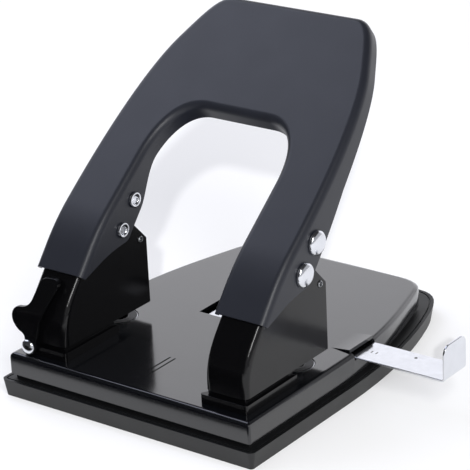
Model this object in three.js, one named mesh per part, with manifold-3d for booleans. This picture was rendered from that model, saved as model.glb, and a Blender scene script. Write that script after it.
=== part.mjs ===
// Heavy two-hole punch: pressed table on a chip tray, two punch heads and one wide lever handle.
// Millimetres, +Z up, +X along the front edge to the right, +Y from the front to the back.
// The origin is the middle of the tray's underside.

import * as THREE from 'three';
import { mergeVertices } from 'three/addons/utils/BufferGeometryUtils.js';
import Module from 'manifold-3d';

const wasm = await Module();
wasm.setup();

// Shared clearances
const RUNNING_GAP = 0.3;
const FIT_GAP = 0.15;
const OVERRUN = 2;

// Tray
const TRAY_WIDTH = 112.8;
const TRAY_DEPTH = 145;
const TRAY_RIM_HEIGHT = 6.6;
const TRAY_DRAFT = 1.1;
const TRAY_FLOOR = 1.6;
const TRAY_WALL = 1.6;
const TRAY_CORNER = 2.2;
const UPSTAND_DROP = 5;
const GROOVE_INSET = 1.2;
const GROOVE_WIDTH = 0.5;
const GROOVE_DEPTH = 0.5;
const TRAY_RIB_THICKNESS = 1.4;
const TRAY_RIB_HEIGHT = 3.2;

// Table pressed from sheet
const PLATE_WIDTH = 107.6;
const PLATE_DEPTH = 131.2;
const PLATE_SHEET = 1.2;
const PLATE_BEVEL = 1.8;
const PLATE_CORNER = 1;
const PLATE_FRONT_LEDGE = 2.5;
const SKIRT_GAP = 1.8;
const TABLE_HEIGHT = 16.5;
const CENTRE_MARK_LENGTH = 20;
const CENTRE_MARK_SETBACK = 12;
const CENTRE_MARK_WIDTH = 0.6;
const CENTRE_MARK_SPACING = 2.2;
const CENTRE_MARK_DEPTH = 0.35;

// Punch heads
const HOLE_SPACING = 80;
const HEAD_SETBACK = 5.5;
const HEAD_WIDTH = 17.6;
const HEAD_DEPTH = 48.7;
const HEAD_SHEET = 1.5;
const HEAD_BEND = 2.6;
const HEAD_FRONT_RISE = 11.6;
const HEAD_FRONT_RADIUS = 14;
const HEAD_LEAN_ANGLE = 51;
const HEAD_WEB_LENGTH = 38;
const CHEEK_LOBE = 5.6;
const CHEEK_SLOPE_ANGLE = 42.8;
const CHEEK_LOBE_START_ANGLE = 130;
const FOOT_WIDTH = 19.8;
const FOOT_LENGTH = 29.7;
const FOOT_HEIGHT = 4.7;
const FOOT_NOSE = 1.4;
const FOOT_CORNER = 1.2;
const FOOT_PLATE_HEIGHT = 3.4;
const SPACER_WIDTH = 15.8;
const SPACER_SETBACK = 0.9;
const LOCK_BOSS_WALL = 0.8;
const HEAD_RIVET_RADIUS = 1.8;
const HEAD_RIVET_HEAD = 3.2;
const HEAD_RIVET_HEAD_HEIGHT = 1.2;
const HEAD_RIVET_PLACES = [7, 21.5];

// Lever linkage
const PIVOT_Y = 32.9;
const PIVOT_RISE = 34.6;
const CRANK = 12;
const CRANK_ANGLE = 50;
const PIN_RADIUS = 2.5;
const RIVET_HEAD_RADIUS = 4.5;
const RIVET_HEAD_HEIGHT = 2;
const RIVET_TAIL_RADIUS = 2.95;
const RIVET_TAIL_HEIGHT = 0.9;
const RIVET_TAIL_HOLLOW = 1.5;
const STOP_PIN_RADIUS = 1.25;
const STOP_PIN_CORE = 0.75;
const STOP_PIN_Y = 45.2;
const STOP_PIN_RISE = 26.2;
const STOP_PIN_PROUD = 0.5;

// Punch, spring and die
const PUNCH_RADIUS = 3;
const PUNCH_HEAD_RADIUS = 4.5;
const PUNCH_HEAD_HEIGHT = 2.5;
const PUNCH_HEAD_CROWN = 0.5;
const PUNCH_TIP_HOLLOW = 0.9;
const PUNCH_TIP_RISE = 0.5;
const COLLAR_RADIUS = 5.6;
const COLLAR_HEIGHT = 1.8;
const GUIDE_BLOCK_FRONT = 6;
const GUIDE_BLOCK_HEIGHT = 6.8;
const GUIDE_BLOCK_RISE = 22.2;
const SPRING_WIRE = 1;
const SPRING_RADIUS = 4.3;
const SPRING_TURNS = 7;
const DIE_FLANGE_RADIUS = 9.5;
const DIE_FACE_RADIUS = 7.2;
const DIE_FACE_CHAMFER = 0.3;
const DIE_LENGTH = 4;

// Handle
const HANDLE_SHEET = 1.2;
const HANDLE_LENGTH = 123.9;
const HANDLE_SIDE_GAP = 0.9;
const HANDLE_BEND = 2.8;
const HANDLE_START = 16;
const HANDLE_LOWER = 18.4;
const HANDLE_SWEEP_RADIUS = 80;
const HANDLE_LEAN_ANGLE = 37.8;
const HANDLE_LOBE = 5.8;
const HANDLE_FOOT_DEPTH = 2.9;
const HANDLE_WAIST = 60;
const HANDLE_WAIST_DEPTH = 10.2;
const HANDLE_RIM_DEPTH = 6.8;
const WINDOW_HEIGHT = 75.6;
const WINDOW_FLANGE = 7.5;
const WINDOW_FLANGE_RUN = 20;
const HANDLE_STRAIGHT = 30;

// Lock lever on the left head
const LOCK_SHEET = 1.4;
const LOCK_STANDOFF = 1.5;
const LOCK_X = -6;
const LOCK_RISE = 3.2;
const LOCK_REACH = 24;
const LOCK_EYE = 3.1;
const LOCK_RIVET_RADIUS = 1;
const LOCK_RIVET_HEAD = 3;
const LOCK_RIVET_HEAD_HEIGHT = 1.7;

// Paper guide
const GUIDE_WIDTH = 14.2;
const GUIDE_SHEET = 0.8;
const GUIDE_LENGTH = 105;
const GUIDE_TAB_X = 90.8;
const GUIDE_TAB_HEIGHT = 13.4;
const GUIDE_TAB_CORNER = 3.2;
const GUIDE_BEND = 1.6;
const GUIDE_SETBACK = 80.8;
const GUIDE_DROP = 0.3;
const RUNNER_LENGTH = 62;
const RUNNER_INSET = 8;
const RUNNER_LIP = 4;
const RUNNER_SHEET = 0.8;
const WINDOW_SLOT_LENGTH = 12.8;
const WINDOW_SLOT_X = -16.3;
const GUIDE_EXIT_INSET = 2.4;
const GUIDE_LIP_RISE = 0.9;
const GUIDE_LIP_RAMP = 8;
const GUIDE_LIP_WALL = 2;
const GUIDE_NOTCH_DEPTH = 1.6;

// Facet counts
const ROUND = 24;
const SMALL_ROUND = 16;
const ARC = 4;

// Places worked out from the sizes above
const SKIRT_BOTTOM = TRAY_RIM_HEIGHT + SKIRT_GAP;
const TABLE_UNDERSIDE = TABLE_HEIGHT - PLATE_SHEET;
const PLATE_FRONT = PLATE_FRONT_LEDGE - TRAY_DEPTH / 2;
const PLATE_MIDDLE = PLATE_FRONT + PLATE_DEPTH / 2;
const HEAD_FRONT = PLATE_FRONT + HEAD_SETBACK;
const HEAD_HALF = HEAD_WIDTH / 2;
const HEAD_INNER = HEAD_HALF - HEAD_SHEET;
const HEAD_FLOOR_TOP = FOOT_HEIGHT + HEAD_SHEET;
const FOOT_HALF = FOOT_WIDTH / 2;
const PAPER_STOP_Y = FOOT_LENGTH - FOOT_NOSE;
const PIVOT_Z = FOOT_HEIGHT + PIVOT_RISE;
const DRIVE_Y = PIVOT_Y + CRANK * Math.cos(radians(CRANK_ANGLE));
const DRIVE_Z = PIVOT_Z + CRANK * Math.sin(radians(CRANK_ANGLE));
const PUNCH_Y = DRIVE_Y;
const PUNCH_TOP = DRIVE_Z - PIN_RADIUS - RUNNING_GAP;
const PUNCH_TIP = FOOT_HEIGHT + PUNCH_TIP_RISE;
const STOP_PIN_Z = FOOT_HEIGHT + STOP_PIN_RISE;
const GUIDE_BLOCK_BOTTOM = FOOT_HEIGHT + GUIDE_BLOCK_RISE;
const COLLAR_TOP = GUIDE_BLOCK_BOTTOM - RUNNING_GAP;
const COLLAR_BOTTOM = COLLAR_TOP - COLLAR_HEIGHT;
const LEG_HALF = HEAD_HALF + HANDLE_SIDE_GAP + HANDLE_SHEET;
const HANDLE_HALF = HOLE_SPACING / 2 + LEG_HALF;
const WINDOW_HALF = HOLE_SPACING / 2 - LEG_HALF;
const GUIDE_TOP = TABLE_UNDERSIDE - GUIDE_DROP;
const GUIDE_BOTTOM = GUIDE_TOP - GUIDE_SHEET;
const GUIDE_MIDDLE = GUIDE_SETBACK - TRAY_DEPTH / 2 - GUIDE_WIDTH / 2;
const GUIDE_EXIT_X = PLATE_WIDTH / 2 - GUIDE_EXIT_INSET;
const GUIDE_SLOT_WIDTH = GUIDE_WIDTH + 2 * RUNNING_GAP;

function radians(degrees) {
  return THREE.MathUtils.degToRad(degrees);
}

// Closed solids and their booleans

function weld(geometry) {
  const bare = geometry.clone();
  bare.deleteAttribute('normal');
  bare.deleteAttribute('uv');
  const welded = mergeVertices(bare);
  const corners = welded.index.array;
  const kept = [];
  for (let i = 0; i < corners.length; i += 3) {
    const face = [corners[i], corners[i + 1], corners[i + 2]];
    if (new Set(face).size === face.length) kept.push(...face);
  }
  welded.setIndex(kept);
  return welded;
}

function signedVolume(geometry) {
  const place = geometry.attributes.position;
  const a = new THREE.Vector3();
  const b = new THREE.Vector3();
  const c = new THREE.Vector3();
  let total = 0;
  for (let i = 0; i < geometry.index.count; i += 3) {
    a.fromBufferAttribute(place, geometry.index.getX(i));
    b.fromBufferAttribute(place, geometry.index.getX(i + 1));
    c.fromBufferAttribute(place, geometry.index.getX(i + 2));
    total += a.dot(b.cross(c));
  }
  return total / 6;
}

function outward(geometry) {
  const welded = weld(geometry);
  if (signedVolume(welded) < 0) welded.setIndex(Array.from(welded.index.array).reverse());
  return welded;
}

function solid(geometry) {
  const closed = outward(geometry);
  return new wasm.Manifold(new wasm.Mesh({
    numProp: 3,
    vertProperties: new Float32Array(closed.attributes.position.array),
    triVerts: new Uint32Array(closed.index.array),
  }));
}

function geometryOf(body) {
  const mesh = body.getMesh();
  const geometry = new THREE.BufferGeometry();
  geometry.setAttribute('position', new THREE.BufferAttribute(mesh.vertProperties, mesh.numProp));
  geometry.setIndex(new THREE.BufferAttribute(mesh.triVerts, 1));
  return geometry;
}

function join(first, ...others) {
  return others.reduce((whole, other) => whole.add(solid(other)), solid(first));
}

function cut(body, ...tools) {
  return tools.reduce((whole, tool) => whole.subtract(solid(tool)), body);
}

// Extrusions along each axis, with the outline drawn in the other two

function extruded(shape, from, to, segments = ROUND) {
  const options = { depth: to - from, bevelEnabled: false, curveSegments: segments };
  return new THREE.ExtrudeGeometry(shape, options);
}

function alongX(shape, from, to, segments) {
  const turn = new THREE.Matrix4().makeBasis(
    new THREE.Vector3(0, 1, 0),
    new THREE.Vector3(0, 0, 1),
    new THREE.Vector3(1, 0, 0),
  );
  return extruded(shape, from, to, segments).applyMatrix4(turn).translate(from, 0, 0);
}

function alongY(shape, from, to, segments) {
  const turn = new THREE.Matrix4().makeBasis(
    new THREE.Vector3(1, 0, 0),
    new THREE.Vector3(0, 0, 1),
    new THREE.Vector3(0, -1, 0),
  );
  return extruded(shape, from, to, segments).applyMatrix4(turn).translate(0, to, 0);
}

function alongZ(shape, from, to, segments) {
  return extruded(shape, from, to, segments).translate(0, 0, from);
}

function polygon(points) {
  return new THREE.Shape(points.map(([u, v]) => new THREE.Vector2(u, v)));
}

function rectangle(left, right, low, high) {
  return polygon([[left, low], [right, low], [right, high], [left, high]]);
}

function rodX(radius, from, to, y, z, sides = ROUND) {
  const rod = new THREE.CylinderGeometry(radius, radius, to - from, sides);
  return rod.rotateZ(-Math.PI / 2).translate((from + to) / 2, y, z);
}

function rodY(radius, from, to, x, z, sides = ROUND) {
  return new THREE.CylinderGeometry(radius, radius, to - from, sides).translate(x, (from + to) / 2, z);
}

function rodZ(radius, from, to, x, y, sides = ROUND) {
  const rod = new THREE.CylinderGeometry(radius, radius, to - from, sides);
  return rod.rotateX(Math.PI / 2).translate(x, y, (from + to) / 2);
}

function revolved(profile, sides = ROUND) {
  const points = profile.map(([radius, height]) => new THREE.Vector2(radius, height));
  return new THREE.LatheGeometry(points, sides);
}

// Lofts: equal closed rings joined in order and capped at both ends

function ringArea(flat) {
  return THREE.ShapeUtils.area(flat);
}

function capFaces(flat) {
  const sense = Math.sign(ringArea(flat));
  return THREE.ShapeUtils.triangulateShape(flat, []).map((face) => {
    const own = Math.sign(ringArea(face.map((i) => flat[i])));
    return own === sense ? face : [face[0], face[2], face[1]];
  });
}

function loft(rings, firstFlat, lastFlat) {
  const count = rings[0].length;
  const places = rings.flat().flatMap((point) => [point.x, point.y, point.z]);
  const faces = [];
  for (let k = 0; k + 1 < rings.length; k += 1) {
    for (let i = 0; i < count; i += 1) {
      const near = k * count + i;
      const nearNext = k * count + (i + 1) % count;
      faces.push(near, nearNext, nearNext + count, near, nearNext + count, near + count);
    }
  }
  const lastStart = (rings.length - 1) * count;
  capFaces(firstFlat).forEach(([a, b, c]) => faces.push(a, c, b));
  capFaces(lastFlat).forEach(([a, b, c]) => faces.push(lastStart + a, lastStart + b, lastStart + c));
  const geometry = new THREE.BufferGeometry();
  geometry.setAttribute('position', new THREE.Float32BufferAttribute(places, 3));
  geometry.setIndex(faces);
  return outward(geometry);
}

// Plan outline of the tray and the table: square front, sides drawn in, rounded back

const SIDE_START_SHARE = 0.41;
const BACK_PULL_SHARE = 0.28;
const TABLE_PLAN_SHARES = {
  sidePulls: [[1, 0.61], [0.918, 0.747]],
  shoulder: [0.797, 0.9146],
  cornerPulls: [[0.762, 0.964], [0.743, 0.9977]],
  backStart: [0.56, 0.997],
};
const TRAY_PLAN_SHARES = {
  sidePulls: [[1, 0.6], [0.929, 0.749]],
  shoulder: [0.817, 0.879],
  cornerPulls: [[0.761, 0.944], [0.7, 0.997]],
  backStart: [0.545, 0.998],
};
const CURVE_POINTS = 8;
const CORNER_FLOOR_SHARE = 0.3;

function planOutline(plan, width, depth, corner, middle) {
  const { sidePulls, shoulder, cornerPulls, backStart } = plan;
  const half = width / 2;
  const front = middle - depth / 2;
  const back = middle + depth / 2;
  const at = ([u, v], side) => [side * half * u, front + depth * v];
  const outline = new THREE.Shape();
  outline.moveTo(0, front);
  outline.lineTo(half - corner, front);
  outline.absarc(half - corner, front + corner, corner, -Math.PI / 2, 0, false);
  outline.lineTo(half, front + depth * SIDE_START_SHARE);
  outline.bezierCurveTo(...at(sidePulls[0], 1), ...at(sidePulls[1], 1), ...at(shoulder, 1));
  outline.bezierCurveTo(...at(cornerPulls[0], 1), ...at(cornerPulls[1], 1), ...at(backStart, 1));
  outline.quadraticCurveTo(half * BACK_PULL_SHARE, back, 0, back);
  outline.quadraticCurveTo(-half * BACK_PULL_SHARE, back, ...at(backStart, -1));
  outline.bezierCurveTo(...at(cornerPulls[1], -1), ...at(cornerPulls[0], -1), ...at(shoulder, -1));
  outline.bezierCurveTo(
    ...at(sidePulls[1], -1), ...at(sidePulls[0], -1), -half, front + depth * SIDE_START_SHARE,
  );
  outline.lineTo(-half, front + corner);
  outline.absarc(-half + corner, front + corner, corner, Math.PI, Math.PI * 1.5, false);
  return outline;
}

function planRing(plan, width, depth, corner, middle, inset, height) {
  const radius = Math.max(corner - inset, corner * CORNER_FLOOR_SHARE);
  const outline = planOutline(plan, width - 2 * inset, depth - 2 * inset, radius, middle);
  const points = outline.getPoints(CURVE_POINTS);
  const closed = points[0].distanceTo(points[points.length - 1]) < FIT_GAP;
  const ring = closed ? points.slice(0, -1) : points;
  return ring.map((point) => new THREE.Vector3(point.x, point.y, height));
}

function pan(rings) {
  return loft(rings, rings[0], rings[rings.length - 1]);
}

// Sheet profiles: a straight run, one large bend and a second straight run, drawn in Y and Z

function bentProfile(start, firstAngle, vertexDistance, radius, secondAngle) {
  const first = radians(firstAngle);
  const second = radians(secondAngle);
  const turn = first - second;
  const tangent = radius * Math.tan(turn / 2);
  const straight = vertexDistance - tangent;
  const arc = radius * turn;
  return (station) => {
    const bend = THREE.MathUtils.clamp((station - straight) / arc, 0, 1);
    const angle = first - turn * bend;
    const run = Math.min(station, straight);
    const rest = Math.max(station - straight - arc, 0);
    const y = start.y + run * Math.cos(first) + radius * (Math.sin(first) - Math.sin(angle))
      + rest * Math.cos(second);
    const z = start.z + run * Math.sin(first) + radius * (Math.cos(angle) - Math.cos(first))
      + rest * Math.sin(second);
    return { y, z, angle };
  };
}

function onProfile(profile, x, station, depth) {
  const { y, z, angle } = profile(station);
  return new THREE.Vector3(x, y + depth * Math.sin(angle), z - depth * Math.cos(angle));
}

// Channel section between two edges of a sheet: flange, bend, web, bend, flange, and back inside

function channelSection(edges, bend, sheet) {
  const walk = (gap, radius) => {
    const points = [];
    edges.forEach((edge, which) => {
      const arc = [];
      for (let i = 0; i <= ARC; i += 1) {
        const angle = (i / ARC) * Math.PI / 2;
        arc.push({ inset: bend - radius * Math.cos(angle), depth: bend - radius * Math.sin(angle) });
      }
      const run = [{ inset: gap, depth: edge.depth }, ...arc];
      if (which === 1) run.reverse();
      run.forEach(({ inset, depth }) => points.push({
        x: edge.x + inset * edge.inward[0],
        station: edge.station + inset * edge.inward[1],
        depth,
      }));
    });
    return points;
  };
  return [...walk(0, bend), ...walk(sheet, bend - sheet).reverse()];
}

function sectionFlat(section) {
  const start = section[0];
  return section.map((point) => new THREE.Vector2(
    Math.hypot(point.x - start.x, point.station - start.station),
    -point.depth,
  ));
}

function channelLoft(sections, profile) {
  const rings = sections.map((section) => section.map(
    (point) => onProfile(profile, point.x, point.station, point.depth),
  ));
  return loft(rings, sectionFlat(sections[0]), sectionFlat(sections[sections.length - 1]));
}

// Chip tray: plastic pan with a thick grooved rim and an upstand that clips inside the table's skirt

function trayGeometry() {
  const upstandTop = TABLE_HEIGHT - UPSTAND_DROP;
  const upstandOuter = PLATE_SHEET + RUNNING_GAP;
  const upstandInner = upstandOuter + TRAY_WALL;
  const grooveInner = GROOVE_INSET + GROOVE_WIDTH;
  const grooveBottom = TRAY_RIM_HEIGHT - GROOVE_DEPTH;
  const outer = (inset, height) => planRing(
    TRAY_PLAN_SHARES, TRAY_WIDTH, TRAY_DEPTH, TRAY_CORNER, 0, inset, height,
  );
  const inner = (inset, height) => planRing(
    TABLE_PLAN_SHARES, PLATE_WIDTH, PLATE_DEPTH, PLATE_CORNER, PLATE_MIDDLE, inset, height,
  );
  const shell = pan([
    outer(TRAY_DRAFT, 0),
    outer(0, TRAY_RIM_HEIGHT),
    outer(GROOVE_INSET, TRAY_RIM_HEIGHT),
    outer(GROOVE_INSET, grooveBottom),
    outer(grooveInner, grooveBottom),
    outer(grooveInner, TRAY_RIM_HEIGHT),
    inner(upstandOuter, TRAY_RIM_HEIGHT),
    inner(upstandOuter, upstandTop),
    inner(upstandInner, upstandTop),
    inner(upstandInner, TRAY_FLOOR),
  ]);
  const reach = PLATE_WIDTH / 2 - upstandInner;
  const ribs = [-1, 1].map((side) => {
    const x = side * HOLE_SPACING / 4;
    const half = TRAY_RIB_THICKNESS / 2;
    const low = TRAY_FLOOR / 2;
    const length = PLATE_DEPTH * SIDE_START_SHARE;
    return alongZ(
      rectangle(x - half, x + half, PLATE_FRONT + upstandOuter, PLATE_FRONT + length),
      low,
      TRAY_FLOOR + TRAY_RIB_HEIGHT,
    );
  });
  const half = TRAY_RIB_THICKNESS / 2;
  const crossY = PLATE_FRONT + PLATE_DEPTH * SIDE_START_SHARE;
  const cross = alongZ(
    rectangle(-reach - half, reach + half, crossY - half, crossY + half),
    TRAY_FLOOR / 2,
    TRAY_FLOOR + TRAY_RIB_HEIGHT,
  );
  return geometryOf(join(shell, ...ribs, cross));
}

// Table: one deep pressing with a rolled edge, die holes, guide slots and a struck centre mark

function tableGeometry() {
  const ring = (inset, height) => planRing(
    TABLE_PLAN_SHARES, PLATE_WIDTH, PLATE_DEPTH, PLATE_CORNER, PLATE_MIDDLE, inset, height,
  );
  const bevelRing = (radius, share) => {
    const angle = share * Math.PI / 2;
    const inset = PLATE_BEVEL - radius * Math.sin(angle);
    return ring(inset, TABLE_HEIGHT - PLATE_BEVEL + radius * Math.cos(angle));
  };
  const shares = Array.from({ length: ARC }, (_, i) => i / (ARC - 1));
  const shell = pan([
    ...shares.map((share) => bevelRing(PLATE_BEVEL, share)),
    ring(0, SKIRT_BOTTOM),
    ring(PLATE_SHEET, SKIRT_BOTTOM),
    ...shares.map((share) => bevelRing(PLATE_BEVEL - PLATE_SHEET, share)).reverse(),
  ]);
  const halfSlot = GUIDE_SLOT_WIDTH / 2;
  const lipRoot = TABLE_UNDERSIDE + PLATE_SHEET / 2;
  const lipInner = GUIDE_EXIT_X - GUIDE_LIP_RAMP;
  const lip = alongY(
    polygon([
      [lipInner, lipRoot],
      [lipInner, TABLE_HEIGHT],
      [GUIDE_EXIT_X, TABLE_HEIGHT + GUIDE_LIP_RISE],
      [GUIDE_EXIT_X, lipRoot],
    ]),
    GUIDE_MIDDLE - halfSlot,
    GUIDE_MIDDLE + halfSlot,
  );
  const lipHollow = alongY(
    polygon([
      [lipInner + GUIDE_LIP_WALL, TABLE_UNDERSIDE],
      [GUIDE_EXIT_X + RUNNING_GAP, TABLE_UNDERSIDE + GUIDE_LIP_RISE],
      [GUIDE_EXIT_X + RUNNING_GAP, TABLE_UNDERSIDE - PLATE_SHEET],
      [lipInner + GUIDE_LIP_WALL, TABLE_UNDERSIDE - PLATE_SHEET],
    ]),
    GUIDE_MIDDLE - halfSlot + RUNNING_GAP,
    GUIDE_MIDDLE + halfSlot - RUNNING_GAP,
  );
  const notch = alongZ(
    rectangle(
      GUIDE_EXIT_X, PLATE_WIDTH / 2 + OVERRUN, GUIDE_MIDDLE - halfSlot, GUIDE_MIDDLE + halfSlot,
    ),
    TABLE_UNDERSIDE - GUIDE_NOTCH_DEPTH,
    TABLE_HEIGHT + GUIDE_LIP_RISE + OVERRUN,
  );
  const slotHalf = GUIDE_WIDTH / 2 - RUNNING_GAP;
  const slot = alongZ(
    rectangle(
      WINDOW_SLOT_X, WINDOW_SLOT_X + WINDOW_SLOT_LENGTH, GUIDE_MIDDLE - slotHalf, GUIDE_MIDDLE + slotHalf,
    ),
    TABLE_UNDERSIDE - OVERRUN,
    TABLE_HEIGHT + OVERRUN,
  );
  const markFront = HEAD_FRONT + CENTRE_MARK_SETBACK - CENTRE_MARK_LENGTH / 2;
  const marks = [-1, 1].map((side) => {
    const x = side * CENTRE_MARK_SPACING / 2;
    const half = CENTRE_MARK_WIDTH / 2;
    return alongZ(
      rectangle(x - half, x + half, markFront, markFront + CENTRE_MARK_LENGTH),
      TABLE_HEIGHT - CENTRE_MARK_DEPTH,
      TABLE_HEIGHT + OVERRUN,
    );
  });
  const holes = headSides().flatMap((side) => {
    const x = side * HOLE_SPACING / 2;
    const die = rodZ(
      DIE_FACE_RADIUS + FIT_GAP, TABLE_UNDERSIDE - OVERRUN, TABLE_HEIGHT + OVERRUN, x, HEAD_FRONT + PUNCH_Y,
    );
    const rivets = HEAD_RIVET_PLACES.map((place) => rodZ(
      HEAD_RIVET_RADIUS + FIT_GAP, TABLE_UNDERSIDE - OVERRUN, TABLE_HEIGHT + OVERRUN, x,
      HEAD_FRONT + place, SMALL_ROUND,
    ));
    return [die, ...rivets];
  });
  return geometryOf(cut(join(shell, lip), lipHollow, notch, slot, ...marks, ...holes));
}

// Punch heads, each drawn about its own centre line with Z zero at the table's top

function headSides() {
  return [-1, 1];
}

const headFront = bentProfile(
  { y: 0, z: FOOT_HEIGHT }, 90, HEAD_FRONT_RISE, HEAD_FRONT_RADIUS, HEAD_LEAN_ANGLE,
);
const HEAD_STATIONS = 12;

function cheekOutline() {
  const edge = [];
  for (let i = 0; i <= HEAD_STATIONS; i += 1) {
    const point = onProfile(headFront, 0, HEAD_WEB_LENGTH * i / HEAD_STATIONS, HEAD_BEND);
    edge.push(new THREE.Vector2(point.y, point.z));
  }
  const outline = new THREE.Shape();
  outline.moveTo(edge[0].x, edge[0].y);
  edge.slice(1).forEach((point) => outline.lineTo(point.x, point.y));
  const slope = radians(CHEEK_SLOPE_ANGLE);
  outline.absarc(PIVOT_Y, PIVOT_Z, CHEEK_LOBE, radians(CHEEK_LOBE_START_ANGLE), slope, true);
  const backTop = PIVOT_Z + (CHEEK_LOBE - (HEAD_DEPTH - PIVOT_Y) * Math.cos(slope)) / Math.sin(slope);
  outline.lineTo(HEAD_DEPTH, backTop);
  outline.lineTo(HEAD_DEPTH, FOOT_HEIGHT);
  return outline;
}

function headFrameGeometry() {
  const sections = [];
  for (let i = 0; i <= HEAD_STATIONS; i += 1) {
    const station = HEAD_WEB_LENGTH * i / HEAD_STATIONS;
    const depth = HEAD_BEND + HEAD_SHEET;
    sections.push(channelSection([
      { x: HEAD_HALF, station, inward: [-1, 0], depth },
      { x: -HEAD_HALF, station, inward: [1, 0], depth },
    ], HEAD_BEND, HEAD_SHEET));
  }
  const web = channelLoft(sections, headFront);
  const cheeks = cut(
    solid(alongX(cheekOutline(), -HEAD_HALF, HEAD_HALF, CURVE_POINTS)),
    alongX(
      rectangle(-OVERRUN, HEAD_DEPTH + OVERRUN, HEAD_FLOOR_TOP, PIVOT_Z + CHEEK_LOBE + OVERRUN),
      -HEAD_INNER,
      HEAD_INNER,
    ),
  );
  const floorFront = alongZ(
    rectangle(-HEAD_HALF + HEAD_BEND, HEAD_HALF - HEAD_BEND, HEAD_SHEET / 2, HEAD_BEND + HEAD_SHEET),
    FOOT_HEIGHT,
    HEAD_FLOOR_TOP,
  );
  const tools = [
    rodX(PIN_RADIUS + FIT_GAP, -HEAD_WIDTH, HEAD_WIDTH, PIVOT_Y, PIVOT_Z),
    rodX(STOP_PIN_RADIUS + FIT_GAP, -HEAD_WIDTH, HEAD_WIDTH, STOP_PIN_Y, STOP_PIN_Z, SMALL_ROUND),
    rodZ(PUNCH_RADIUS + RUNNING_GAP, 0, HEAD_FLOOR_TOP + OVERRUN, 0, PUNCH_Y),
    ...HEAD_RIVET_PLACES.map((place) => rodZ(
      HEAD_RIVET_RADIUS + FIT_GAP, 0, HEAD_FLOOR_TOP + OVERRUN, 0, place, SMALL_ROUND,
    )),
  ];
  return geometryOf(cut(join(web, geometryOf(cheeks), floorFront), ...tools));
}

// Foot block: a wide plate with a narrower spacer on it; their shared back face is the paper stop

function footBlockGeometry(hasLock) {
  const front = -FOOT_NOSE;
  const arcX = FOOT_HALF - FOOT_CORNER;
  const arcY = front + FOOT_CORNER;
  const outline = new THREE.Shape();
  outline.moveTo(-FOOT_HALF, PAPER_STOP_Y);
  outline.absarc(-arcX, arcY, FOOT_CORNER, Math.PI, Math.PI * 1.5, false);
  outline.absarc(arcX, arcY, FOOT_CORNER, Math.PI * 1.5, Math.PI * 2, false);
  outline.lineTo(FOOT_HALF, PAPER_STOP_Y);
  const plate = alongZ(outline, 0, FOOT_PLATE_HEIGHT, ARC);
  const low = FOOT_PLATE_HEIGHT / 2;
  const spacer = alongZ(
    rectangle(-SPACER_WIDTH / 2, SPACER_WIDTH / 2, SPACER_SETBACK, PAPER_STOP_Y), low, FOOT_HEIGHT,
  );
  const bodies = [plate, spacer];
  const holes = HEAD_RIVET_PLACES.map((place) => rodZ(
    HEAD_RIVET_RADIUS + FIT_GAP, -OVERRUN, FOOT_HEIGHT + OVERRUN, 0, place, SMALL_ROUND,
  ));
  if (hasLock) {
    const bore = LOCK_RIVET_RADIUS + FIT_GAP;
    const half = bore + LOCK_BOSS_WALL;
    const depth = LOCK_RIVET_LENGTH - FOOT_NOSE + FIT_GAP;
    bodies.push(alongZ(rectangle(LOCK_X - half, LOCK_X + half, front, depth), low, FOOT_HEIGHT));
    holes.push(rodY(bore, -FOOT_LENGTH, depth, LOCK_X, LOCK_RISE, SMALL_ROUND));
  }
  return geometryOf(cut(join(...bodies), ...holes));
}

function headRivetGeometry() {
  const headTop = HEAD_FLOOR_TOP + HEAD_RIVET_HEAD_HEIGHT;
  const under = -PLATE_SHEET - HEAD_RIVET_HEAD_HEIGHT;
  const rimHigh = HEAD_FLOOR_TOP + HEAD_RIVET_HEAD_HEIGHT / 2;
  return outward(revolved([
    [0, under],
    [HEAD_RIVET_HEAD - HEAD_RIVET_RADIUS / 2, under],
    [HEAD_RIVET_HEAD, -PLATE_SHEET],
    [HEAD_RIVET_RADIUS, -PLATE_SHEET],
    [HEAD_RIVET_RADIUS, HEAD_FLOOR_TOP],
    [HEAD_RIVET_HEAD, HEAD_FLOOR_TOP],
    [HEAD_RIVET_HEAD, rimHigh],
    [HEAD_RIVET_RADIUS, headTop],
    [0, headTop],
  ], SMALL_ROUND).rotateX(Math.PI / 2));
}

function dieGeometry() {
  const bore = PUNCH_RADIUS + RUNNING_GAP;
  return outward(revolved([
    [bore, -DIE_LENGTH],
    [DIE_FLANGE_RADIUS, -DIE_LENGTH],
    [DIE_FLANGE_RADIUS, -PLATE_SHEET],
    [DIE_FACE_RADIUS, -PLATE_SHEET],
    [DIE_FACE_RADIUS, -DIE_FACE_CHAMFER],
    [DIE_FACE_RADIUS - DIE_FACE_CHAMFER, 0],
    [bore + DIE_FACE_CHAMFER, 0],
    [bore, -DIE_FACE_CHAMFER],
    [bore, -DIE_LENGTH],
  ], ROUND).rotateX(Math.PI / 2));
}

function punchGeometry() {
  const headUnder = PUNCH_TOP - PUNCH_HEAD_HEIGHT;
  return outward(revolved([
    [0, PUNCH_TIP + PUNCH_TIP_HOLLOW],
    [PUNCH_RADIUS, PUNCH_TIP],
    [PUNCH_RADIUS, headUnder],
    [PUNCH_HEAD_RADIUS, headUnder],
    [PUNCH_HEAD_RADIUS, PUNCH_TOP - PUNCH_HEAD_CROWN],
    [PUNCH_HEAD_RADIUS - PUNCH_HEAD_CROWN, PUNCH_TOP],
    [0, PUNCH_TOP],
  ], ROUND).rotateX(Math.PI / 2));
}

function collarGeometry() {
  const bore = PUNCH_RADIUS + FIT_GAP;
  return outward(revolved([
    [bore, COLLAR_BOTTOM],
    [COLLAR_RADIUS, COLLAR_BOTTOM],
    [COLLAR_RADIUS, COLLAR_TOP],
    [bore, COLLAR_TOP],
    [bore, COLLAR_BOTTOM],
  ], ROUND).rotateX(Math.PI / 2));
}

// Return spring: one unbroken wire whose end turns close up flat against their seats

const TURN_STEPS = 8;
const WIRE_SIDES = 5;
const CLOSED_TURN_SHARE = 0.14;

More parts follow.
